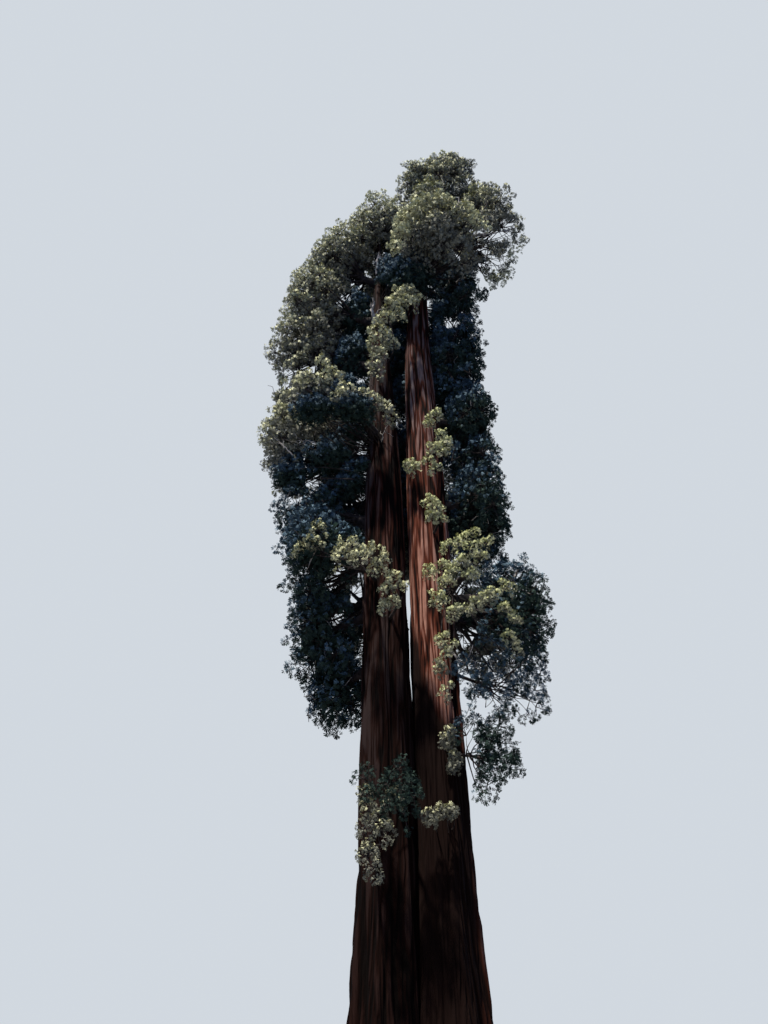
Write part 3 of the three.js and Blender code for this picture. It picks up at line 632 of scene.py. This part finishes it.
# How far each point lies off the stems' bark
def offStems(points):
    least = np.full(len(points), 99.0)
    for name in stems:
        top = stemTop(name)
        x, y, r = stemAt(name, np.minimum(points[:, 2], top))
        flat = np.hypot(points[:, 0] - x, points[:, 1] - y) - r * 1.06
        over = np.maximum(points[:, 2] - top, 0)
        least = np.minimum(least, np.where(over > 0, np.hypot(np.maximum(flat, 0), over), flat))
    return least


# Draws a clump in from the crown's sides where its mass would stand out too far
def drawnIn(points, sizes, hub, half):
    points = points.copy()
    for side, sign in (("left", -1), ("right", 1)):
        edge = np.interp(points[:, 2], edges["height"], edges[side]) - sign * (sizes + 0.25)
        room = sign * (edge - hub[0])
        out = sign * (points[:, 0] - hub[0])
        share = np.clip(room / (half[0] * 0.8), 0.25, 1)
        points[:, 0] = np.where(out > 0, hub[0] + sign * out * share, points[:, 0])
    return points


# Directions spread evenly over a ball from a drawn turn
def spread(count, random):
    z = 1 - (2 * np.arange(count) + 1) / count
    flat = np.sqrt(1 - z * z)
    angle = random.uniform(0, 6.28) + goldenAngle * np.arange(count)
    return np.column_stack([flat * np.cos(angle), flat * np.sin(angle), z])


def unit(ways):
    return ways / (np.linalg.norm(ways, axis=-1, keepdims=True) + 1e-9)


crownRule = {
    "clumps": 6.3,  # clumps for each metre of a mass's size
    "clumpOut": 0.92, "clumpSize": (0.22, 0.4),  # shares of the mass's half sizes and size
    "puffs": 27, "fewest": 8,  # on a clump of one metre, and on the smallest clump
    "puffOut": (0.68, 1.15), "puffSize": (0.22, 0.32),  # share of the clump's size, and metres
    "bridges": 5,  # clumps between two masses that are near
    "sprays": 24, "tall": 1.3,  # on a puff of 0.3 m, and how much longer than wide it is
    "sprayLength": (0.17, 0.27),
    "shadeSprays": 44, "shadeLength": (0.65, 1.05),
    # painted shade between clumps
    "creviceShade": 0.5,  # how much darker a puff is between two clumps
    "litFrom": 0.6, "halfLitFrom": -0.1,  # bounds of brightness between the kinds
    "kinds": ("tips", "green", "inner"), "bluePaintedShadeKinds": ("dusk", "dusk", "shade"),
    # the way towards the sun, by which sprays get painted light
    "sunward": np.array([-0.35, -0.2, 0.91]),
}

# One spray: four blades that widen from one root, each by its two far corners (along, across, over)
sprayOutline = np.array([
    (0, 0, 0),
    (0.92, 0.15, 0.02), (1.0, -0.1, -0.02),
    (0.68, 0.56, 0.08), (0.88, 0.36, -0.03),
    (0.86, -0.36, 0.02), (0.66, -0.58, 0.1),
    (0.7, 0.15, 0.34), (0.78, -0.13, 0.38),
])
sprayFaces = np.array([(0, k + 1, k) for k in range(1, 9, 2)])


# Sprays at their roots; a puff's sprays are shaded as one rounded tuft
def spraysAt(roots, along, over, length, out):
    across = np.cross(over, along)
    frames = np.stack([along, across, over], 1) * length[:, None, None]
    points = roots[:, None] + sprayOutline @ frames
    faces = sprayFaces[None] + (np.arange(len(roots)) * len(sprayOutline))[:, None, None]
    normals = np.repeat(unit(0.8 * out + 0.35 * over), len(sprayOutline), axis=0)
    return points.reshape(-1, 3), faces.reshape(-1, 3), normals


# Sprays fan off the way out of their puff, with their flat sides towards the open
def fanOut(out, random, low, high, lift):
    lean = np.radians(random.uniform(low, high, len(out)))[:, None]
    side = unit(random.normal(size=out.shape) + (0, 0, lift))
    side = unit(side - out * (side * out).sum(1, keepdims=True))
    along = out * np.cos(lean) + side * np.sin(lean)
    over = out * np.sin(lean) - side * np.cos(lean)
    twist = random.normal(0, 0.25, len(out))[:, None]
    over = unit(over * np.cos(twist) + np.cross(over, along) * np.sin(twist))
    return along, over


# Whether the sky shows where a point would stand
def inGap(point):
    share = eye[1] / (eye[1] - point[1])
    x, z = eye[0] + (point[0] - eye[0]) * share, eye[2] + (point[2] - eye[2]) * share
    beside, above = (x - gaps[:, 0]) / (gaps[:, 2] + 0.25), (z - gaps[:, 1]) / (gaps[:, 3] + 0.25)
    near = beside ** 2 + above ** 2 < 1
    return near.any() and 0.5 + 1.3 * noise.noise(Vector((x * 1.5, z * 1.2, 3.7))) < gaps[near, 4].max()


# The sprays of one puff, sorted by how much light falls there into lit, half-lit and shaded paints:
# painted light and shade
def growPuff(puff, size, way, head, habit, random, grown, deep=0.0):
    rule, fine = crownRule, habit["fine"]
    count = max(7, round(rule["sprays"] * (size / 0.3) ** 1.6 / fine ** 1.3))
    out = spread(count, random)
    out = unit(out + random.normal(0, 0.15, out.shape))
    out = out[out @ way > -0.5]
    axis = unit(0.6 * way + (0, 0, -0.7 - habit["hang"]) + random.normal(0, 0.35, 3))
    length = random.uniform(*rule["sprayLength"], len(out)) * fine
    along, over = fanOut(out, random, 55, 86, 0.3 - 1.3 * habit["hang"])
    spot = out + np.outer(out @ axis, axis) * rule["tall"]
    roots = puff + spot * (size * random.uniform(0.35, 0.6, (len(out), 1)))
    free = offStems(roots + along * length[:, None]) > 0.04
    # painted light and shade: brighter kinds where the spray, puff and clump face the sun, darker away
    # from it
    shine = (0.6 * out + 0.35 * way + 0.35 * head) @ rule["sunward"]
    # painted shade on the underside of the mass
    under = habit["under"] * min(0, head[2] - 0.15)
    shine += random.normal(0, 0.08, len(out)) + habit["light"] - deep + under
    kinds = np.where(shine > rule["litFrom"], 0, np.where(shine > rule["halfLitFrom"], 1, 2))
    for kind, key in enumerate(rule["bluePaintedShadeKinds" if habit["dusk"] else "kinds"]):
        mine = free & (kinds == kind)
        if mine.any():
            grown[key].append(tuple(row[mine] for row in (roots, along, over, length, out)))


# The puffs of one clump, with the twigs that carry them
def growClump(clump, size, head, others, name, random, grown, loose, lift=0.0):
    rule, habit, index = crownRule, allHabits[name], massNames.index(name)
    count = max(rule["fewest"], round(rule["puffs"] * size ** 2 / habit["fine"]))
    ways = spread(count, random)
    ways = unit(ways + random.normal(0, 0.12, ways.shape))
    ways = ways[ways @ head > -0.4]
    tall = np.array([1, 1, 1 + 0.4 * habit["hang"]])
    puffs = clump + ways * tall * size * random.uniform(*rule["puffOut"], (len(ways), 1))
    puffSizes = random.uniform(*rule["puffSize"], len(ways)) * habit["fine"] ** 0.5
    away = np.linalg.norm(puffs[:, None] - others[0][None], axis=2) / others[1][None]
    away[:, np.linalg.norm(others[0] - clump, axis=1) < 1e-6] = 9
    # painted shade in the crevices between clumps
    deep = rule["creviceShade"] * np.clip((1.6 - away.min(axis=1)) / 0.8, 0, 1)
    kept = (away > 0.72).all(axis=1) & (offStems(puffs) > 0.25)
    if not loose:
        share = np.sqrt((((puffs - hubs[index]) / halves[index]) ** 2).sum(1))
        kept &= (share > 0.45) & (share < 1.2)
        bare = habit["open"] * 0.35 + 0.3 * np.maximum(-ways[:, 2] - 0.3, 0)
        kept &= random.uniform(size=len(kept)) > bare
    fromStem = np.abs(puffs[:, 0] - limbs[name]["line"][0][0])
    # painted shade near the stem
    deep += 0.6 * np.clip((habit["near"] - fromStem) / 1.5, 0, 1)
    # lift adds painted light to the clump's sprays, as on the lit ledges
    own = {**habit, "light": habit["light"] + lift + random.normal(0, 0.08)}
    for puff, puffSize, way, shade in zip(puffs[kept], puffSizes[kept], ways[kept], deep[kept]):
        if not inGap(puff):
            grown["twigs"].append((clump, puff, 0.03))
            growPuff(puff, puffSize, way, head, own, random, grown, shade)
    return kept.any()


def emptyGrowth():
    return {key: [] for key in (*leafPaints, "branches", "twigs")}


def ruleOf(index):
    return crownRule, allHabits[massNames[index]], hubs[index], halves[index], roundSizes[index]


# Where a mass has its clumps: they lie uneven in depth, and the outer ones are smaller
def placeClumps(index, random):
    name = massNames[index]
    rule, habit, hub, half, size = ruleOf(index)
    if name in chains:
        clumps = np.array(chains[name], float)
        heads = unit((clumps - clumps.mean(axis=0)) * 0.3 + (-0.2, -0.5, 0.8))
        return clumps, random.uniform(*habit["clump"], len(clumps)), heads
    heads = spread(round(rule["clumps"] * size), random)
    heads = unit(heads + random.normal(0, 0.2, heads.shape))
    squared = heads / np.abs(heads).max(axis=1, keepdims=True) ** 0.6
    heads = heads * (1 - habit["square"]) + squared * habit["square"]
    lump = np.array([noise.noise(Vector(head) * 1.9 + Vector((index * 3.1, 0, 0))) for head in heads])
    depth = rule["clumpOut"] * (1 - habit["lumps"] * np.clip(0.5 - 1.3 * lump, 0, 1))
    depth = depth * random.uniform(0.84, 1, len(heads))
    sizes = size * random.uniform(*rule["clumpSize"], len(heads)) * (1.3 - 0.45 * depth)
    clumps = hub + heads * (half * habit["reach"] / 0.84) * depth[:, None] * 0.86
    clumps = drawnIn(clumps, sizes, hub, half)
    kept = (insideSpace(clumps, index) > 0.05) & (offStems(clumps) > 0.3)
    kept &= random.uniform(size=len(kept)) > habit["open"] * 0.4
    return clumps[kept], sizes[kept], unit(heads[kept])


# Clumps that close the space between two near masses
def bridgeClumps(first, second, random):
    span = hubs[second] - hubs[first]
    length = np.linalg.norm(span)
    reach = roundSizes[first] + roundSizes[second]
    if length > 1.3 * reach or massNames[first] in chains or massNames[second] in chains:
        return None
    count = crownRule["bridges"]
    middle = hubs[first] + span * (roundSizes[first] / reach) + random.normal(0, 0.25, (count, 3))
    side = random.normal(size=(count, 3))
    side = unit(side - np.outer(side @ span, span) / length ** 2)
    small = min(roundSizes[first], roundSizes[second])
    clumps = middle + side * small * random.uniform(0.25, 0.7, (count, 1))
    sizes = small * random.uniform(0.24, 0.34, count)
    hub, half = ((rows[first] + rows[second]) / 2 for rows in (hubs, halves))
    clumps = drawnIn(clumps, sizes, hub, half)
    kept = offStems(clumps) > 0.3
    return clumps[kept], sizes[kept], side[kept]


def growMass(index, placed, bridges, random):
    name = massNames[index]
    rule, habit, hub, half, size = ruleOf(index)
    grown = emptyGrowth()
    line = limbs[name]["line"]
    clumps, sizes, heads = (np.concatenate(rows) for rows in zip(placed[index], *bridges))
    for clump, clumpSize, head in zip(clumps, sizes, heads):
        start = alongLine(line, random.uniform(0.6, 1.0))
        if growClump(clump, clumpSize, head, (clumps, sizes), name, random, grown, name in chains):
            grown["branches"].append((start, clump, 0.035 if name in chains else 0.1))
    for clump in np.array(ledges.get(name, np.empty((0, 3)))):
        grown["branches"].append((alongLine(line, 1.0), clump, 0.05))
        head = unit(np.array([-0.2, -0.4, 0.9]))
        clumpSize = random.uniform(0.42, 0.55)
        growClump(clump, clumpSize, head, (clumps, sizes), name, random, grown, True, 0.4)
    if name in chains:
        return grown
    # Large dark sprays deep inside the mass, painted in shade
    count = round(rule["shadeSprays"] * size * (1 - 0.8 * habit["open"]))
    out = unit(random.normal(size=(count, 3)))
    roots = hub + out * half * random.uniform(0.1, 0.52, (count, 1)) * habit["reach"] / 0.84
    along, over = fanOut(out, random, 20, 90, -0.3)
    roots = drawnIn(roots, np.ones(count), hub, half)
    length = random.uniform(*rule["shadeLength"], count) * min(1, half.min() / 2.5)
    ends = roots + along * length[:, None]
    free = (insideSpace(roots, index) > 0) & (offStems(roots) > 0.2) & (offStems(ends) > 0.1)
    free &= ~np.array([inGap(point) for point in (roots + ends) / 2])
    rows = (roots, along, over, length, out)
    grown["shade" if habit["dusk"] else "inner"].append(tuple(row[free] for row in rows))
    return grown


# Small tufts that stand on the stems or close behind the slit between them: stem, middle, half sizes,
# and where it isn't so, whether they are painted in blue shade and how many clumps they have
tufts = [
    ("left", (0.1, 2.6, 31.2), (0.8, 0.8, 1.6)),
    ("right", (0.1, 2.6, 34.5), (0.9, 0.8, 2.3)),
    ("left", (0, 2.4, 38.6), (1, 0.8, 2.4)),
    ("right", (0.1, 2.2, 43), (1.1, 0.8, 2.4)),
    ("left", (-0.2, 2, 47.4), (1.2, 0.9, 2.4)),
    ("right", (0.2, 1.8, 51.8), (1.3, 1, 2.4)),
    ("right", (0.9, -1.8, 52.6), (1.3, 0.9, 2.3)),
    ("left", (-0.1, -2.4, 51.4), (1.3, 0.9, 1.8)),
    ("left", (-3.5, 0.2, 50.6), (1, 1, 2.4)),
    ("left", (-3.7, 0.4, 45.6), (1.1, 1, 2.4)),
    ("left", (-3.7, 0.2, 41), (1.1, 1, 2.2)),
    ("left", (-0.5, -0.8, 53.4), (1.2, 1, 2.6)),
    ("right", (3, 1, 51), (0.9, 1, 2.2)),
    ("right", (2.9, 1, 47), (0.9, 1, 2.2)),
    ("right", (2.8, 0.9, 42.6), (0.8, 0.9, 2)),
    ("right", (7.2, 0.2, 66.3), (1.6, 1.5, 1.7), False, 9),
    ("right", (3.2, 0.8, 66.2), (2, 2.2, 1.5), False, 14),
    ("left", (-3.5, -0.8, 38.7), (1.2, 0.8, 1), True, 10),
    ("left", (-3.8, -0.6, 36.2), (1.3, 0.8, 1.2), True, 12),
    ("left", (-3.4, 0, 32.8), (0.9, 0.9, 1.4), True, 10),
    ("right", (1.6, -1.7, 15.6), (0.4, 0.4, 0.7), False, 4),
    ("right", (1.9, -1.6, 14.7), (0.3, 0.4, 0.9), False, 3),
    ("right", (0.8, -2.2, 12.1), (0.7, 0.3, 0.5), False, 3),
    ("right", (1.5, -2, 12.3), (0.6, 0.3, 0.4), False, 3),
    ("right", (2, 0.4, 71.2), (1.7, 1.4, 1.3), False, 9),
    ("left", (-4.7, -0.6, 34.6), (1.9, 0.9, 1.1), True, 18),
    ("left", (-6.9, -0.2, 33.4), (1.5, 0.9, 1.4), True, 16),
    ("left", (-2.9, -0.6, 33.8), (0.8, 0.7, 1.4), True, 10),
    ("left", (-3.4, -3.2, 36.2), (1.7, 0.6, 0.7)),
    ("right", (1.5, 2.2, 63.2), (1.9, 1.7, 2.2), False, 20),
    ("right", (2.4, 1.6, 65.6), (1.9, 1.8, 1.8), False, 18),
    ("left", (0.2, 4.4, 30.4), (1.8, 1.4, 1.9), False, 16),
    ("right", (0.2, 4.4, 38.4), (1.8, 1.4, 1.9), False, 16),
    ("left", (-0.2, 4.4, 46.6), (1.8, 1.4, 1.9), False, 16),
    ("left", (-5.8, -3.4, 35.9), (1.5, 0.6, 0.8), True, 12),
    ("right", (4.8, 0.6, 73), (2.4, 1.4, 1.1), False, 13),
]
lowBelow = 20  # the tufts under this height are darker and finer


# Sprays on the inner part of a limb, painted in blue shade between its mass and the stem
def growAlong(name, random, grown):
    rule = {"first": 0.34, "last": 0.85, "perMetre": 3, "off": 0.8, "size": (0.3, 0.42)}
    line = limbs[name]["line"]
    habit = {**usualHabit, "hang": 0.6, "dusk": True, "light": -0.1}
    length = np.linalg.norm(line[2] - line[0])
    for share in np.linspace(rule["first"], rule["last"], max(2, round(rule["perMetre"] * length))):
        at = alongLine(line, share)
        way = unit(random.normal(size=3) + (0, 0, -0.2))
        puff = at + way * random.uniform(0.3, rule["off"])
        if offStems(puff[None])[0] > 0.3 and not inGap(puff):
            grown["twigs"].append((at, puff, 0.035))
            growPuff(puff, random.uniform(*rule["size"]), way, way, habit, random, grown)


def growTuft(random, grown, stem, hub, half, dusk=True, count=14):
    hub, half = np.array(hub), np.array(half)
    # painted shade on the tufts low down
    light, fine = (-0.7, 0.65) if hub[2] < lowBelow else (-0.1, 1)
    habit = {**usualHabit, "hang": 0.4, "dusk": dusk, "light": light, "fine": fine}
    start = np.array([*stemAt(stem, hub[2])[:2], hub[2] - 0.3])
    heads = spread(count, random)
    clumps = hub + heads * half * random.uniform(0.25, 0.8, (len(heads), 1))
    size = float(np.cbrt(half.prod())) * 0.62
    for clump, head in zip(clumps, heads):
        grown["branches"].append((start, clump, 0.04))
        ways = spread(7, random)
        puffs = clump + ways * size * 0.7
        kept = offStems(puffs) > 0.15
        for puff, way in zip(puffs[kept], ways[kept]):
            if not inGap(puff):
                grown["twigs"].append((clump, puff, 0.03))
                growPuff(puff, size * 0.55, way, head, habit, random, grown)


# Branches and twigs bow a little on their way
def bowed(rows, steps, random):
    start = np.array([row[0] for row in rows])
    end = np.array([row[1] for row in rows])
    butt = np.array([row[2] for row in rows])
    t = np.linspace(0, 1, steps)[None, :, None]
    length = np.linalg.norm(end - start, axis=1)[:, None, None]
    bend = random.normal(0, 0.1, (len(rows), 1, 3)) + (0, 0, -0.12)
    lines = start[:, None] * (1 - t) + end[:, None] * t + bend * length * np.sin(t * math.pi)
    radii = butt[:, None] * (1 - 0.75 * t[0, :, 0])[None]
    return lines, radii


# All that grows, sorted by the part of the crown and kind of spray, and the wood that carries it
def growCrown():
    parts, wood = {}, {"branches": [], "twigs": []}

    def gather(part, grown):
        for key in wood:
            wood[key] += grown[key]
        for key in leafPaints:
            if grown[key]:
                parts.setdefault((part, key), []).extend(grown[key])

    count = len(massNames)
    seeds = [np.random.default_rng(1000 + index * 17) for index in range(count)]
    placed = [placeClumps(index, seeds[index]) for index in range(count)]
    bridges = [[] for name in massNames]
    for first in range(count):
        for second in range(first + 1, count):
            made = bridgeClumps(first, second, seeds[first])
            if made:
                bridges[first].append(made)
    for index, name in enumerate(massNames):
        gather(masses[name]["part"], growMass(index, placed, bridges[index], seeds[index]))
    random = np.random.default_rng(77)
    onStems = {name: emptyGrowth() for name in stems}
    for row in tufts:
        growTuft(random, onStems[row[0]], *row)
    for name, mass in masses.items():
        if mass["onBough"]:
            growAlong(name, random, onStems[mass["stem"]])
    for stem, grown in onStems.items():
        gather(stem, grown)
    return parts, wood


def makeCrown():
    parts, wood = growCrown()
    for (part, key), rows in parts.items():
        points, faces, normals = spraysAt(*(np.concatenate(column) for column in zip(*rows)))
        print(f"  {part} {key}: {len(faces)} triangles")
        nodes = ["foliage_" + name for name, mass in masses.items() if mass["part"] == part]
        material = warmTips if (part, key) == ("right", "tips") else leafPaints[key]
        finishPiece(joined(f"foliage_{part}_{key}", points, faces, normals), nodes, material)
    random = np.random.default_rng(5)
    for name, steps, sides in (("branches", 7, 5), ("twigs", 2, 3)):
        lines, radii = bowed(wood[name], steps, random)
        finishPiece(joined(name, *tubes(lines, radii, sides)), [], limbBark)
        print(f"  {len(wood[name])} {name}")


# Bare dead wood: snags that show against the stems and in the crown (start, way on, end, butt radius)
snags = [
    ((-1.8, -0.5, 54.2), (-1.9, -0.9, 55), (-1.75, -1.1, 56.2), 0.24),
    ((-2, -0.6, 47.8), (-2.2, -1.1, 48.6), (-2.05, -1.3, 49.6), 0.17),
    ((-6.9, -2, 33.4), (-7.4, -2.4, 33.7), (-7.9, -2.4, 34.3), 0.035),
    ((-5.5, -2.2, 34.2), (-6, -2.4, 34.2), (-6.5, -2.5, 33.7), 0.03),
    ((-1.5, -0.8, 35.4), (-1.3, -1.5, 35.9), (-0.9, -1.8, 36.7), 0.04),
    ((2.1, -1, 20.6), (2.6, -1.9, 19.5), (3.1, -2.1, 20.4), 0.06),
    ((2, 0, 58.3), (5.4, -1.2, 58.2), (9.4, -1.6, 59), 0.13),
    ((2.6, -0.3, 55.4), (4.6, -2.6, 55.8), (6.9, -3.2, 55), 0.09),
    ((2.1, -0.2, 56.4), (3.4, -5, 55), (4.4, -6, 55.4), 0.08),
]
# Pale dead twigs inside each mass, partly real dead wood and partly painted highlight for the pale specks
# of glinting leaves
deadTwigs = {"eachMass": 16, "inner": 0.5, "outer": (0.66, 0.92), "radius": (0.025, 0.045)}


def stick(line, first, last, sides):
    return tubes(line[None], np.linspace(first, last, len(line))[None], sides)


def makeDeadWood():
    random = np.random.default_rng(311)
    parts = []
    for start, via, end, radius in snags:
        start, via, end = (np.array(point, float) for point in (start, via, end))
        via = 2 * via - (start + end) / 2
        line = alongLine((start, via, end), np.linspace(0, 1, 9))
        line[1:-1] += random.normal(0, 0.05, (7, 3))
        parts.append(stick(line, radius, radius * 0.3, 6))
        for k in (3, 4, 6, 7):
            tip = line[k] + unit(random.normal(size=3) + unit(end - start)) * random.uniform(0.4, 0.9)
            fork = np.linspace(line[k], tip, 4) + np.vstack([np.zeros(3), random.normal(0, 0.06, (3, 3))])
            parts.append(stick(fork, radius * 0.5, radius * 0.2, 4))
    for name in masses:
        hub, half = massSpace(name)
        ways = unit(random.normal(size=(0 if name in chains else deadTwigs["eachMass"], 3)))
        for way in ways:
            start = hub + way * half * deadTwigs["inner"]
            end = hub + unit(way + random.normal(0, 0.3, 3)) * half * random.uniform(*deadTwigs["outer"])
            radius = random.uniform(*deadTwigs["radius"])
            line = np.linspace(start, end, 5)
            line[1:-1] += random.normal(0, 0.1, (3, 3))
            low, high = (np.interp(end[2], edges["height"], edges[side]) for side in ("left", "right"))
            if offStems(line).min() > 0.1 and low + 0.5 < end[0] < high - 0.5:
                parts.append(stick(line, radius, radius * 0.5, 4))
    finishPiece(joined("dead_wood", *pile(parts)), [], deadWood)


makeCrown()
makeDeadWood()
print("crown made")


# A pale round floor, a soft-edged sun from high on the left and a dim sky
def makeStage():
    look = {
        "floor": (0.22, 0.22, 0.22), "floorSize": 60, "floorHeight": -0.004,
        "sun": 11, "sunAngle": 2.5, "sunWay": (-0.27, -0.37, 0.89), "sunColour": (1.0, 0.96, 0.88),
        "sky": 0.75, "skyColour": (0.38, 0.54, 1.0, 1),
        "backdrop": 0.8, "backdropColour": (0.80, 0.86, 0.93, 1),
    }
    bpy.ops.object.select_all(action="DESELECT")
    bpy.ops.mesh.primitive_circle_add(
        vertices=128, radius=look["floorSize"] / 2, fill_type="NGON", location=(0, 0, look["floorHeight"]))
    floor = bpy.context.object
    floor.name = "floor"
    paint = Paint("pale floor", 0.9)
    paint.set(paint.shader.inputs["Base Color"], (*look["floor"], 1))
    floor.data.materials.append(paint.material)
    bpy.ops.object.light_add(type="SUN")
    sun = bpy.context.object
    sun.data.energy, sun.data.angle = look["sun"], math.radians(look["sunAngle"])
    sun.data.color = look["sunColour"]
    sun.rotation_euler = Vector(look["sunWay"]).to_track_quat("Z", "Y").to_euler()
    world = bpy.data.worlds.new("sky")
    bpy.context.scene.world = world
    world.use_nodes = True
    nodes, wires = world.node_tree.nodes, world.node_tree.links
    nodes.clear()
    light, seen = nodes.new("ShaderNodeBackground"), nodes.new("ShaderNodeBackground")
    for shader, key in ((light, "sky"), (seen, "backdrop")):
        shader.inputs[0].default_value = look[key + "Colour"]
        shader.inputs[1].default_value = look[key]
    path, choice, end = (nodes.new(kind) for kind in (
        "ShaderNodeLightPath", "ShaderNodeMixShader", "ShaderNodeOutputWorld"))
    wires.new(path.outputs["Is Camera Ray"], choice.inputs[0])
    wires.new(light.outputs[0], choice.inputs[1])
    wires.new(seen.outputs[0], choice.inputs[2])
    wires.new(choice.outputs[0], end.inputs[0])


# The photograph's place, how far it looks up in degrees, and its focal length in pixels of its height
def makeCamera():
    view = {"place": (-0.72, -19.36, 0.8533), "up": 38.6, "focal": 769, "height": 1024, "sensor": 36}
    bpy.ops.object.camera_add(location=view["place"], rotation=(math.radians(90 + view["up"]), 0, 0))
    camera = bpy.context.object
    camera.data.sensor_width = view["sensor"]
    camera.data.lens = view["sensor"] * view["focal"] / view["height"]
    camera.data.clip_end = 500
    bpy.context.scene.camera = camera


makeStage()
makeCamera()
bpy.context.scene.view_settings.view_transform = "Standard"
bpy.context.scene.cycles.use_denoising = True
print("stage and camera set")
